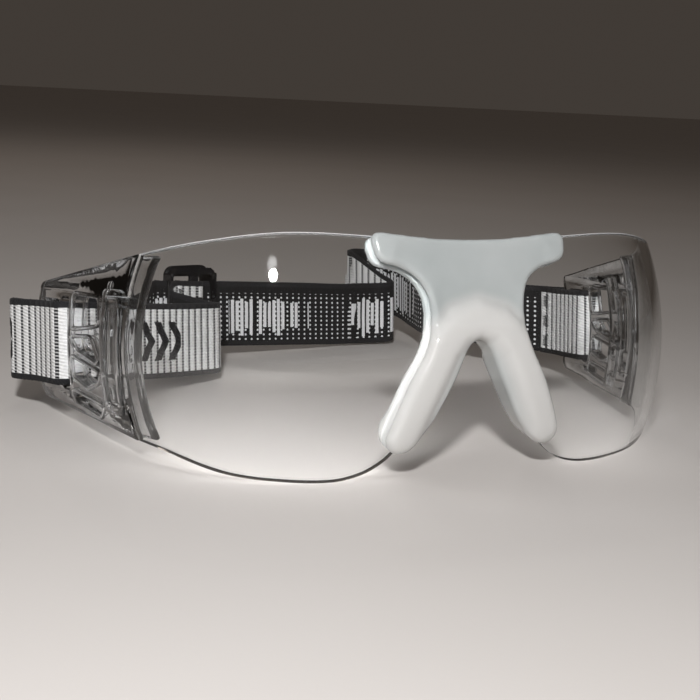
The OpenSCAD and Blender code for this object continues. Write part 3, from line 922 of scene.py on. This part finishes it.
def spline(i, t):
    """A point of the smooth route, t of the way from point i to the next."""
    a, b = route[max(0, i - 1)], route[i]
    c, d = route[i + 1], route[min(len(route) - 1, i + 2)]
    return (b * 2 + (c - a) * t + (a * 2 - b * 5 + c * 4 - d) * t**2 + (b * 3 - a - c * 3 + d) * t**3) / 2


FINE = 40
fine_route = [(i + k / FINE, spline(i, k / FINE)) for i in range(len(route) - 1) for k in range(FINE)]
fine_route.append((len(route) - 1.0, route[-1]))
walked = [0.0]
for (_, a), (_, b) in zip(fine_route, fine_route[1:]):
    walked.append(walked[-1] + (b - a).length)
print("strap's length:", round(walked[-1]), "mm")

# %% [markdown]
# ## Woven elastic
# The band is a two-colour jacquard of rubber-cored yarn. Its outer face is white, in upright
# ribs 2.8 mm apart between narrow black edges; its inner face is black, pricked with rows of
# white picks, and where the outer face carries a black figure the white yarn floats inside
# as loose bars. The figure here is a plain row of chevrons. A painted image could show such
# a weave, but arithmetic nodes stay sharp at any distance and need no file. Each face reads
# a UV map measured in millimetres, so the weave follows the band round every turn.

# %% Sizes of the weave, in mm
RIB = 2.8
PICK = 0.8
CHEVRON_EVERY = 6.2
CHEVRON_SLANT = 0.7
CHEVRON_HALF = 5.8
FIGURE_EVERY = 70.0
FIGURE_LEN = 24.0
FIGURE_FROM = 31.0
DOT_EVERY_ALONG = 2.3
DOT_EVERY_ACROSS = 1.45
BLACK_ROW = 1.15
FLOAT_PITCH = 1.75
FLOAT_EVERY = 46.0
FLOAT_LEN = 31.0
FLOAT_FROM = 27.0
EDGE_TWIST = 0.7
print("ribs on the whole strap:", round(walked[-1] / RIB))

# %% Pattern tools


def band_coordinates(tree):
    """Millimetres along and across the band, from its UV map."""
    uv = node(tree, "ShaderNodeUVMap", uv_map="band")
    split = node(tree, "ShaderNodeSeparateXYZ", {0: uv})
    return split.outputs["X"], split.outputs["Y"]


def every(tree, value, period):
    """Place within a repeat, from 0 to 1."""
    repeats = node(tree, "ShaderNodeMath", {0: value, 1: period}, operation="DIVIDE")
    return node(tree, "ShaderNodeMath", {0: repeats}, operation="FRACT")


def off_middle(tree, place):
    """How far a place in a repeat is from its middle, from 0 to 0.5."""
    shifted = node(tree, "ShaderNodeMath", {0: place, 1: 0.5}, operation="SUBTRACT")
    return node(tree, "ShaderNodeMath", {0: shifted}, operation="ABSOLUTE")


def between(tree, value, low, high):
    """1 where the value lies between the two limits."""
    above = node(tree, "ShaderNodeMath", {0: value, 1: low}, operation="GREATER_THAN")
    below = node(tree, "ShaderNodeMath", {0: value, 1: high}, operation="LESS_THAN")
    return node(tree, "ShaderNodeMath", {0: above, 1: below}, operation="MULTIPLY")


def window(tree, along, start, length, period):
    """1 over a stretch of each repeat, all in millimetres."""
    shifted = node(tree, "ShaderNodeMath", {0: along, 1: start}, operation="SUBTRACT")
    place = every(tree, shifted, period)
    return node(tree, "ShaderNodeMath", {0: place, 1: length / period}, operation="LESS_THAN")


def fuzz(tree, per_mm):
    """Loose fibres, as fine noise on the band's own coordinates."""
    uv = node(tree, "ShaderNodeUVMap", uv_map="band")
    return node(tree, "ShaderNodeTexNoise", {"Vector": uv, "Scale": per_mm, "Detail": 4.0})


def cloth(tree, colour, height, depth):
    """Matt yarn: the colour, its relief and a faint fuzz of light at grazing angles."""
    bump = node(tree, "ShaderNodeBump", {"Height": height, "Strength": 0.8, "Distance": depth})
    yarn = node(tree, "ShaderNodeBsdfPrincipled", {
        "Base Color": colour, "Roughness": 0.8, "IOR": 1.5, "Specular IOR Level": 0.3,
        "Sheen Weight": 0.04, "Normal": bump})
    node(tree, "ShaderNodeOutputMaterial", {"Surface": yarn})


print("weave starts", 0.0, "mm and ends", round(walked[-1], 1), "mm along the band")

# %% [markdown]
# ## The white face
# White polyester ribs, a dotted black line in the gap between them where the black yarn
# shows through, and black chevrons. A chevron is a diagonal stripe whose slant turns round
# at mid width, so it needs only the distance from the middle line. Its ends are ragged, as
# woven figures are. Soft wear, about 0.6 mm, greys the white.

# %% White ribbed elastic
white_face, tree = new_material("white_ribbed_elastic")
along, across = band_coordinates(tree)
rib_at = every(tree, along, RIB)
pick_at = every(tree, across, PICK)
gap = node(tree, "ShaderNodeMath", {0: off_middle(tree, rib_at), 1: 0.34}, operation="GREATER_THAN")
picked = node(tree, "ShaderNodeMath", {0: pick_at, 1: 0.45}, operation="GREATER_THAN")
ink = node(tree, "ShaderNodeMath", {0: picked, 1: 0.5, 2: 0.5}, operation="MULTIPLY_ADD")
stitch_dot = node(tree, "ShaderNodeMath", {0: gap, 1: ink}, operation="MULTIPLY")
dirt = fuzz(tree, 1.6)
white_yarn = node(tree, "ShaderNodeMix", {0: dirt, 6: linear("#c6c6c9"), 7: linear("#fdfdfb")},
                  data_type="RGBA")
off_line = node(tree, "ShaderNodeMath", {0: across}, operation="ABSOLUTE")
slant = node(tree, "ShaderNodeMath", {0: off_line, 1: CHEVRON_SLANT, 2: along}, operation="MULTIPLY_ADD")
stroke = node(tree, "ShaderNodeMath", {0: every(tree, slant, CHEVRON_EVERY), 1: 0.5},
              operation="LESS_THAN")
ragged = node(tree, "ShaderNodeMath", {0: fuzz(tree, 3.0), 1: 1.2, 2: off_line}, operation="MULTIPLY_ADD")
inside = node(tree, "ShaderNodeMath", {0: ragged, 1: CHEVRON_HALF}, operation="LESS_THAN")
chevron = node(tree, "ShaderNodeMath", {0: stroke, 1: inside}, operation="MULTIPLY")
figure = node(tree, "ShaderNodeMath", {
    0: chevron, 1: window(tree, along, FIGURE_FROM, FIGURE_LEN, FIGURE_EVERY)}, operation="MULTIPLY")
dark = node(tree, "ShaderNodeMath", {0: stitch_dot, 1: figure}, operation="MAXIMUM")
white_colour = node(tree, "ShaderNodeMix", {0: dark, 6: white_yarn.outputs[2], 7: linear("#17171a")},
                    data_type="RGBA")
turned = node(tree, "ShaderNodeMath", {0: rib_at, 1: 0.7, 2: across}, operation="MULTIPLY_ADD")
braid = off_middle(tree, every(tree, turned, PICK))
relief = node(tree, "ShaderNodeMath", {0: dirt, 1: 0.4, 2: braid}, operation="MULTIPLY_ADD")
cloth(tree, white_colour.outputs[2], relief, 0.5 * MM)
print("material:", white_face.name, "with", len(tree.nodes), "nodes")

# %% [markdown]
# ## The black face
# Black yarn with a few grey flecks and rows of white picks. Behind each figure the white
# yarn floats as loose bars, each with its own length: one noise value for each column of
# the weave gives that, with no random draws in the script.

# %% Black picked elastic
black_face, tree = new_material("black_picked_elastic")
along, across = band_coordinates(tree)
fleck = node(tree, "ShaderNodeMath", {0: fuzz(tree, 4.0), 1: 5.0}, operation="POWER")
black_yarn = node(tree, "ShaderNodeMix", {0: fleck, 6: linear("#040405"), 7: linear("#6a6a70")},
                  data_type="RGBA")
dot_u = node(tree, "ShaderNodeMath", {0: every(tree, along, DOT_EVERY_ALONG), 1: 0.5},
             operation="SUBTRACT")
dot_v = node(tree, "ShaderNodeMath", {0: every(tree, across, DOT_EVERY_ACROSS), 1: 0.5},
             operation="SUBTRACT")
narrow = node(tree, "ShaderNodeMath", {0: dot_u, 1: 1.5}, operation="MULTIPLY")
square_u = node(tree, "ShaderNodeMath", {0: narrow, 1: 2.0}, operation="POWER")
square_v = node(tree, "ShaderNodeMath", {0: dot_v, 1: 2.0}, operation="POWER")
dot_size = node(tree, "ShaderNodeMath", {0: square_u, 1: square_v}, operation="ADD")
round_dot = node(tree, "ShaderNodeMath", {0: dot_size, 1: 0.055}, operation="LESS_THAN")
dot = node(tree, "ShaderNodeMath", {0: round_dot, 1: between(tree, across, -8.2, 6.4)},
           operation="MULTIPLY")
columns = node(tree, "ShaderNodeMath", {0: along, 1: FLOAT_PITCH}, operation="DIVIDE")
column = node(tree, "ShaderNodeMath", {0: columns}, operation="FLOOR")
dice = node(tree, "ShaderNodeTexWhiteNoise", {"W": column}, noise_dimensions="1D").outputs["Value"]
reach = node(tree, "ShaderNodeMath", {0: dice, 1: 3.5, 2: 3.0}, operation="MULTIPLY_ADD")
lifted = node(tree, "ShaderNodeMath", {0: dice, 1: 1.4, 2: across}, operation="MULTIPLY_ADD")
off_line = node(tree, "ShaderNodeMath", {0: lifted}, operation="ABSOLUTE")
tall = node(tree, "ShaderNodeMath", {0: off_line, 1: reach}, operation="LESS_THAN")
thin = node(tree, "ShaderNodeMath", {
    0: off_middle(tree, every(tree, along, FLOAT_PITCH)), 1: 0.33}, operation="LESS_THAN")
bar = node(tree, "ShaderNodeMath", {0: tall, 1: thin}, operation="MULTIPLY")
kept = node(tree, "ShaderNodeMath", {0: dice, 1: 0.15}, operation="GREATER_THAN")
shown = node(tree, "ShaderNodeMath", {
    0: kept, 1: window(tree, along, FLOAT_FROM, FLOAT_LEN, FLOAT_EVERY)}, operation="MULTIPLY")
floats = node(tree, "ShaderNodeMath", {0: bar, 1: shown}, operation="MULTIPLY")
bright = node(tree, "ShaderNodeMath", {0: dot, 1: floats}, operation="MAXIMUM")
black_colour = node(tree, "ShaderNodeMix", {0: bright, 6: black_yarn.outputs[2], 7: linear("#e4e4e6")},
                    data_type="RGBA")
row = off_middle(tree, every(tree, along, BLACK_ROW))
relief = node(tree, "ShaderNodeMath", {0: row, 1: bright}, operation="ADD")
cloth(tree, black_colour.outputs[2], relief, 0.25 * MM)
print("material:", black_face.name, "with", len(tree.nodes), "nodes")

# %% [markdown]
# ## The edge
# Black yarn wraps over the rubber core at both edges, twisted about every 0.7 mm. A slanted
# repeat gives the twist, with painted shade where the fibres turn away, broken up by random fuzz.

# %% Black selvedge yarn
edge_yarn, tree = new_material("black_selvedge_yarn")
along, across = band_coordinates(tree)
slant = node(tree, "ShaderNodeMath", {0: across, 1: 0.8, 2: along}, operation="MULTIPLY_ADD")
twist = every(tree, slant, EDGE_TWIST)
# Painted shade: dark where each twist turns away and lighter towards its other end, times random fuzz
twist_shade_and_fuzz = node(tree, "ShaderNodeMath", {0: twist, 1: fuzz(tree, 4.0)}, operation="MULTIPLY")
edge_colour = node(tree, "ShaderNodeMix", {0: twist_shade_and_fuzz, 6: linear("#050506"), 7: linear("#3c3c40")},
                   data_type="RGBA")
cloth(tree, edge_colour.outputs[2], off_middle(tree, twist), 0.2 * MM)
print("material:", edge_yarn.name, "with", len(tree.nodes), "nodes")

# %% [markdown]
# ## The band as geometry
# The ribs are real relief, not only shading, so a curve with a bevel isn't enough: the
# cross-section is swept along the route in steps of a third of a millimetre, and its outer
# face swells and sinks with each rib. Each point of the section has its place across the
# strap, its height, and its kind: outer face, inner face or edge.

# %% Cross-section of the band
STEP = 0.34
FACE_POINTS = 13
SELVEDGE = 1.5
RIB_RELIEF = 0.42
ROW_RELIEF = 0.06
OUTER, INNER, EDGE = 0, 1, 2
HALF_T = STRAP_T / 2
HALF_W = STRAP_W / 2
face_w = STRAP_W - 2 * SELVEDGE
across_at = [-HALF_W + SELVEDGE + face_w * i / (FACE_POINTS - 1) for i in range(FACE_POINTS)]
turns = [math.pi * k / 6 for k in range(1, 6)]
section = [(v, 1.0, OUTER) for v in across_at]
section += [(HALF_W - SELVEDGE / 2 + SELVEDGE / 2 * math.sin(a), math.cos(a), EDGE) for a in turns]
section += [(v, -1.0, INNER) for v in reversed(across_at)]
section += [(-HALF_W + SELVEDGE / 2 - SELVEDGE / 2 * math.sin(a), -math.cos(a), EDGE) for a in turns]
print("cross-section:", len(section), "points")

# %% [markdown]
# ## Sweep the band
# Each stretch is its own piece, because the stretch by the adjuster moves with it. On the real
# goggles that one stays put where it leaves the left holder and follows the adjuster at its
# other end; here it gets no body, and only its two end points on the route are picked out.

# %% Make the strap's pieces


def route_at(mm):
    """Point and sideways direction at a walked distance."""
    low, high = 0, len(walked) - 1
    while high - low > 1:
        mid = (low + high) // 2
        if walked[mid] <= mm:
            low = mid
        else:
            high = mid
    span = max(1e-9, walked[high] - walked[low])
    t = min(1.0, max(0.0, (mm - walked[low]) / span))
    a, b = fine_route[low][1], fine_route[high][1]
    before, after = fine_route[max(0, low - 3)][1], fine_route[min(len(fine_route) - 1, high + 3)][1]
    way = Vector((after.x - before.x, after.y - before.y))
    way.normalize()
    return a.lerp(b, t), Vector((-way.y, way.x, 0)) * -1


def band(name, first, last, nodes, body):
    """The stretch of strap between two route points, as a closed ribbed ribbon."""
    start, end = walked[int(first * FINE)], walked[int(last * FINE)]
    count = max(2, round((end - start) / STEP))
    made = bmesh.new()
    uv_layer = made.loops.layers.uv.new("band")
    rings = []
    for i in range(count + 1):
        mm = start + (end - start) * i / count
        centre, outward = route_at(mm)
        rib = abs(math.sin(math.pi * mm / RIB)) ** 0.6
        ring = []
        for v, height, kind in section:
            if kind == OUTER:
                relief = HALF_T - RIB_RELIEF * (1 - rib)
            elif kind == INNER:
                relief = HALF_T - ROW_RELIEF * (1 - abs(math.sin(math.pi * mm / BLACK_ROW)))
            else:
                relief = HALF_T * (0.8 + 0.2 * rib)
                v += math.copysign(0.28 * rib - 0.2, v)
            spot = centre + outward * (height * relief)
            ring.append(made.verts.new(lie(spot.x, spot.y, spot.z + v)))
        rings.append((mm, ring))
    n = len(section)
    for (mm_a, ring_a), (mm_b, ring_b) in zip(rings, rings[1:]):
        for k in range(n):
            m = (k + 1) % n
            face = made.faces.new([ring_a[k], ring_a[m], ring_b[m], ring_b[k]])
            kinds = {section[k][2], section[m][2]}
            face.material_index = EDGE if EDGE in kinds else kinds.pop()
            va, vb = section[k][0], section[m][0]
            for loop, value in zip(face.loops, [(mm_a, va), (mm_a, vb), (mm_b, vb), (mm_b, va)]):
                loop[uv_layer].uv = value
    for ring in (rings[0][1], rings[-1][1][::-1]):
        made.faces.new(ring).material_index = EDGE
    bmesh.ops.recalc_face_normals(made, faces=made.faces)
    mesh = mesh_from(made, name)
    thing = piece(name, mesh, [white_face, black_face, edge_yarn])
    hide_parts(*nodes)
    if body:
        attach(thing, body)
    print(name, len(mesh.polygons), "faces,", round(end - start), "mm")
    return thing


last_point = len(route) - 1
band("strap_right_loop_woven", 0, joins[0], ["strap_right_loop"], "root")
band("strap_headband_woven", joins[0], joins[1], ["strap_headband"], "root")
band("strap_left_loop_woven", joins[1], joins[2], ["strap_left_loop"], "root")
moving = band("strap_return_woven", joins[2], joins[3], ["strap_return"], None)
band("strap_end_loop_woven", joins[3], last_point, ["strap_end_loop"], "adjuster")
blend_start, blend_end = route[joins[2]], route[joins[3]]
tuple(lie(*blend_start))
tuple(lie(*blend_end))
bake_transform(moving)

# %% [markdown]
# ## Black acetal
# The adjuster is moulded in acetal, black all through and hard. The eye sees a glossy skin
# that is polished a little more where fingers move it.

# %% Black acetal
acetal, tree = new_material("black_moulded_acetal")
where = node(tree, "ShaderNodeTexCoord").outputs["Object"]
# Mould grain, drawn at 0.6 mm, coarser than the real one, and soft polished patches
grain = node(tree, "ShaderNodeTexNoise", {"Vector": where, "Scale": per_metre(0.625), "Detail": 2.0})
polish = node(tree, "ShaderNodeTexNoise", {"Vector": where, "Scale": per_metre(5.56), "Detail": 2.0})
rough = node(tree, "ShaderNodeMapRange", {
    "Value": polish.outputs["Fac"], "From Min": 0.35, "From Max": 0.65, "To Min": 0.14, "To Max": 0.3})
shade = node(tree, "ShaderNodeMix", {0: polish.outputs["Fac"], 6: linear("#08080a"), 7: linear("#131317")},
             data_type="RGBA")
bump = node(tree, "ShaderNodeBump", {"Height": grain.outputs["Fac"], "Strength": 0.15, "Distance": 0.0001})
plastic = node(tree, "ShaderNodeBsdfPrincipled", {
    "Base Color": shade.outputs[2], "Roughness": rough.outputs["Result"], "IOR": 1.48,
    "Normal": bump.outputs["Normal"]})
node(tree, "ShaderNodeOutputMaterial", {"Surface": plastic.outputs["BSDF"]})
print("material:", acetal.name)

# %% [markdown]
# ## The adjuster
# A three-bar slide: a frame with two rails and a middle bar in front of it. Its flat parts
# could be left overlapping, but the moulding has no seams. A fine voxel remesh joins them
# in one skin and softens every inner corner.

# %% Make the adjuster
SLIDE_L = 16.5
RAIL_H = 3.4
RAIL_IN = STRAP_W / 2 + 1.1
RAIL_OUT = RAIL_IN + RAIL_H
OUTER_BAR_W = 3.2
SLIDE_BACK = half_slot + BAR_T
SLIDE_LIFT = 0.3
CORNER = 3.0
run_turn = math.atan2(run_way.y, run_way.x)


def slide_place(x, y, z):
    """From the slide's own drawing to its place: y is up, z is away from the front."""
    spot = SLIDE_AT + Vector((math.cos(run_turn), math.sin(run_turn), 0)) * x
    return lie(*(spot + run_side * z + Vector((0, 0, y + SLIDE_LIFT))))


def slide_part(whole, outline, holes, front, back, edge):
    """Adds one flat part of the slide to the whole."""
    made = flat_moulding(outline, holes, back - front, edge, 3)
    settled(made, lambda x, y, z: slide_place(x, y, (front + back) / 2 + z))
    join_on(whole, made)


half_l = SLIDE_L / 2
frame_outline = (arc(half_l - CORNER, RAIL_OUT - CORNER, CORNER, 0, 90)
                 + arc(CORNER - half_l, RAIL_OUT - CORNER, CORNER, 90, 180)
                 + arc(CORNER - half_l, CORNER - RAIL_OUT, CORNER, 180, 270)
                 + arc(half_l - CORNER, CORNER - RAIL_OUT, CORNER, 270, 360))
window_half = half_l - OUTER_BAR_W
whole = bmesh.new()
slide_part(whole, frame_outline, [box_outline(-window_half, window_half, -RAIL_IN, RAIL_IN, 1.0)],
           half_slot, SLIDE_BACK, 0.6)
upper = [(x, z) for x, z in frame_outline if z > RAIL_IN] + [(-half_l, RAIL_IN), (half_l, RAIL_IN)]
slide_part(whole, upper, [], centre_bar, SLIDE_BACK, 0.5)
slide_part(whole, [(x, -z) for x, z in upper], [], centre_bar, SLIDE_BACK, 0.5)
slide_part(whole, box_outline(-MIDDLE_BAR_W / 2, MIDDLE_BAR_W / 2, -RAIL_IN - 1, RAIL_IN + 1, 1.0), [],
           centre_bar, centre_bar + BAR_T, 0.45)
slide = piece("slide_adjuster_moulded", mesh_from(whole, "slide_adjuster_moulded"), [acetal])
one_skin = slide.modifiers.new("one skin", "REMESH")
one_skin.mode = "VOXEL"
one_skin.voxel_size = 0.0002
soft = slide.modifiers.new("soft", "SMOOTH")
soft.iterations = 4
bake_modifiers(slide)
slide.data.shade_smooth()
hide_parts("slide_adjuster")
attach(slide, "adjuster")
print("adjuster:", len(slide.data.polygons), "faces")

# %% [markdown]
# ## Black thread
# The strap's ends are sewn with black polyester thread. The eye sees its twisted plies and
# a slight sheen. A wave texture gives the plies at their real spacing.

# %% Thread material
thread, tree = new_material("black_polyester_thread")
where = node(tree, "ShaderNodeTexCoord").outputs["Object"]
# Plies 0.35 mm apart, because a wave texture's bands are 0.314 of the spacing it is given
plies = node(tree, "ShaderNodeTexWave", {
    "Vector": where, "Scale": per_metre(1.11), "Distortion": 1.5, "Detail": 1.0})
tone = node(tree, "ShaderNodeMix", {0: plies.outputs["Fac"], 6: linear("#0b0b0d"), 7: linear("#3a3a3e")},
            data_type="RGBA")
bump = node(tree, "ShaderNodeBump", {"Height": plies.outputs["Fac"], "Strength": 0.4, "Distance": 0.0001})
fibre = node(tree, "ShaderNodeBsdfPrincipled", {
    "Base Color": tone.outputs[2], "Roughness": 0.5, "IOR": 1.55, "Sheen Weight": 0.3,
    "Normal": bump.outputs["Normal"]})
node(tree, "ShaderNodeOutputMaterial", {"Surface": fibre.outputs["BSDF"]})
print("material:", thread.name)

# %% [markdown]
# ## Bar tacks
# Short rows of zigzag thread close the strap's two ends. They repeat, so Geometry Nodes
# make them: a line is resampled, every other point is pushed aside, the zigzag becomes a
# thread, and the row is copied up the strap.

# %% Bar-tack node tree
tack_tree = bpy.data.node_groups.new("bar_tacks", "GeometryNodeTree")
interface = tack_tree.interface
for name, kind in [("Row Height", "NodeSocketFloat"), ("Row Width", "NodeSocketFloat"),
                   ("Row Pitch", "NodeSocketFloat"), ("Thread Radius", "NodeSocketFloat"),
                   ("Rows", "NodeSocketInt"), ("Passes", "NodeSocketInt"), ("Thread", "NodeSocketMaterial")]:
    interface.new_socket(name, in_out="INPUT", socket_type=kind)
interface.new_socket("Geometry", in_out="OUTPUT", socket_type="NodeSocketGeometry")
given = tack_tree.nodes.new("NodeGroupInput").outputs
foot = node(tack_tree, "ShaderNodeCombineXYZ", {"Z": node(
    tack_tree, "ShaderNodeMath", {0: given["Row Height"], 1: -0.5}, operation="MULTIPLY").outputs[0]})
head = node(tack_tree, "ShaderNodeCombineXYZ", {"Z": node(
    tack_tree, "ShaderNodeMath", {0: given["Row Height"], 1: 0.5}, operation="MULTIPLY").outputs[0]})
line = node(tack_tree, "GeometryNodeCurvePrimitiveLine", {"Start": foot.outputs[0], "End": head.outputs[0]})
dense = node(tack_tree, "GeometryNodeResampleCurve", {"Curve": line.outputs[0], "Count": given["Passes"]})
index = node(tack_tree, "GeometryNodeInputIndex")
odd = node(tack_tree, "ShaderNodeMath", {0: index.outputs[0], 1: 2.0}, operation="MODULO")
aside = node(tack_tree, "ShaderNodeMath", {0: odd.outputs[0], 1: 0.5}, operation="SUBTRACT")
push = node(tack_tree, "ShaderNodeMath", {0: aside.outputs[0], 1: given["Row Width"]}, operation="MULTIPLY")
offset = node(tack_tree, "ShaderNodeCombineXYZ", {"X": push.outputs[0]})
zigzag = node(tack_tree, "GeometryNodeSetPosition", {"Geometry": dense, "Offset": offset})
ring = node(tack_tree, "GeometryNodeCurvePrimitiveCircle", {
    "Resolution": 6, "Radius": given["Thread Radius"]})
tube = node(tack_tree, "GeometryNodeCurveToMesh", {
    "Curve": zigzag.outputs[0], "Profile Curve": ring.outputs[0], "Fill Caps": True})
pitch = node(tack_tree, "ShaderNodeCombineXYZ", {"Z": given["Row Pitch"]})
down = node(tack_tree, "ShaderNodeMath", {0: given["Rows"], 1: -1.0}, operation="ADD")
start_z = node(tack_tree, "ShaderNodeMath", {0: down.outputs[0], 1: given["Row Pitch"]}, operation="MULTIPLY")
start_low = node(tack_tree, "ShaderNodeMath", {0: start_z.outputs[0], 1: -0.5}, operation="MULTIPLY")
start_at = node(tack_tree, "ShaderNodeCombineXYZ", {"Z": start_low.outputs[0]})
spots = node(tack_tree, "GeometryNodeMeshLine", {
    "Count": given["Rows"], "Start Location": start_at.outputs[0], "Offset": pitch.outputs[0]})
copies = node(tack_tree, "GeometryNodeInstanceOnPoints", {
    "Points": spots.outputs[0], "Instance": tube.outputs[0]})
real = node(tack_tree, "GeometryNodeRealizeInstances", {"Geometry": copies.outputs[0]})
painted = node(tack_tree, "GeometryNodeSetMaterial", {
    "Geometry": real.outputs[0], "Material": given["Thread"]})
end = tack_tree.nodes.new("NodeGroupOutput")
tack_tree.links.new(painted.outputs[0], end.inputs[0])
sockets = {item.name: item.identifier for item in interface.items_tree if item.in_out == "INPUT"}
print("bar-tack inputs:", sorted(sockets))

# %% Make the bar tacks


def tacks(name, centre, heading, width, node_name, body):
    """Three tacks standing on a plan heading; centre is upright millimetres."""
    mesh = bpy.data.meshes.new(name)
    thing = bpy.data.objects.new(name, mesh)
    scene.collection.objects.link(thing)
    rows = thing.modifiers.new("bar tacks", "NODES")
    rows.node_group = tack_tree
    values = {"Row Height": 3.2 * MM, "Row Width": width * MM, "Row Pitch": 6.0 * MM,
              "Thread Radius": 0.2 * MM, "Rows": 3, "Passes": 13, "Thread": thread}
    for key, value in values.items():
        rows[sockets[key]] = value
    bake_modifiers(thing)
    turn = Matrix.Rotation(heading, 3, "Z")
    for v in thing.data.vertices:
        spot = turn @ v.co / MM + centre
        v.co = lie(*spot)
    thing.data.shade_smooth()
    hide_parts(node_name)
    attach(thing, body)
    print(name, len(thing.data.polygons), "faces")


lean = math.atan((TAIL_TO - TAIL_FROM) / TAIL_LEN)
tail_way = CORNER_TURN + lean
tail_spot = beside(1, REAR_S + 2 + TAIL_LEN * 0.55, TAIL_FROM + (TAIL_TO - TAIL_FROM) * 0.55, 28)
tail_out = Vector((-math.sin(tail_way), math.cos(tail_way), 0))
TACK_OFF = STRAP_T / 2 + 0.12
tacks("bar_tacks_right", tail_spot + tail_out * TACK_OFF, tail_way, 2.0, "stitch_right", "root")
loop_way = run_turn + math.radians(16.5)
loop_out = Vector((-math.sin(loop_way), math.cos(loop_way), 0))
loop_spot = at_bar(-6.9, wrap_front - 1.4)
tacks("bar_tacks_slider", loop_spot - loop_out * TACK_OFF, loop_way, 1.5, "stitch_slider", "adjuster")

# %% [markdown]
# ## The table
# A plain pale matt board, large enough to fill the view. It has a paper tooth and wide soft
# patches, so that shadows fall on a surface and not on a flat colour.

# %% Table
board, tree = new_material("pale_matt_board")
where = node(tree, "ShaderNodeTexCoord").outputs["Object"]
# Paper tooth, drawn at about 1 mm, and soft patches as wide as a hand
tooth = node(tree, "ShaderNodeTexNoise", {"Vector": where, "Scale": per_metre(1.11), "Detail": 3.0})
patch = node(tree, "ShaderNodeTexNoise", {"Vector": where, "Scale": per_metre(111), "Detail": 2.0})
board_colour = node(tree, "ShaderNodeMix", {
    0: patch.outputs["Fac"], 6: linear("#cbc6c2"), 7: linear("#d3cecb")}, data_type="RGBA")
bump = node(tree, "ShaderNodeBump", {"Height": tooth.outputs["Fac"], "Strength": 0.1, "Distance": 0.0002})
matt = node(tree, "ShaderNodeBsdfPrincipled", {
    "Base Color": board_colour.outputs[2], "Roughness": 0.7, "IOR": 1.45, "Normal": bump.outputs["Normal"]})
node(tree, "ShaderNodeOutputMaterial", {"Surface": matt.outputs["BSDF"]})
table_made = bmesh.new()
bmesh.ops.create_grid(table_made, x_segments=4, y_segments=4, size=6.0)
table_board = piece("table_board", mesh_from(table_made, "table_board"), [board])
print("table:", [round(side, 1) for side in table_board.dimensions], "m")

# %% [markdown]
# ## Lights and colour
# Clear plastic shows only what it reflects and bends, so the lamps are what draw it. A
# small key lamp in front on the left gives the shadows and the glints, a wide ceiling lamp
# and a dim room soften them, a wash lights the far board, and two very small lamps add
# glints on the holders. A bigger key would be softer, but it lies on the shield as a blob.

# %% Lights


def lamp(name, at, aim, size, watts, colour):
    """A round lamp at a place in metres, turned to where it aims."""
    data = bpy.data.lights.new(name, "AREA")
    data.shape = "DISK"
    data.size = size
    data.energy = watts
    data.color = linear(colour)[:3]
    thing = bpy.data.objects.new(name, data)
    scene.collection.objects.link(thing)
    thing.location = at
    thing.rotation_mode = "QUATERNION"
    thing.rotation_quaternion = (Vector(aim) - Vector(at)).to_track_quat("-Z", "Y")


lamp("key", (-0.19, -0.36, 0.25), (0.0, -0.03, 0.0), 0.035, 1.75, "#ffffff")
lamp("back", (0.12, 0.8, 0.7), (0.12, 0.6, 0.0), 0.5, 0.5, "#fff0e2")
lamp("ceiling", (0.0, -0.1, 1.2), (0.0, 0.0, 0.0), 1.0, 0.4, "#ffffff")
lamp("glint_left", (-0.45, 0.15, 0.35), (-0.05, 0.0, 0.02), 0.02, 0.12, "#ffffff")
lamp("glint_back", (0.12, 0.4, 0.5), (0.0, 0.0, 0.03), 0.02, 0.12, "#ffffff")
world = bpy.data.worlds.new("studio")
scene.world = world
world.use_nodes = True
world.node_tree.nodes["Background"].inputs["Color"].default_value = linear("#b0a296")
world.node_tree.nodes["Background"].inputs["Strength"].default_value = 0.12
scene.view_settings.view_transform = "Standard"
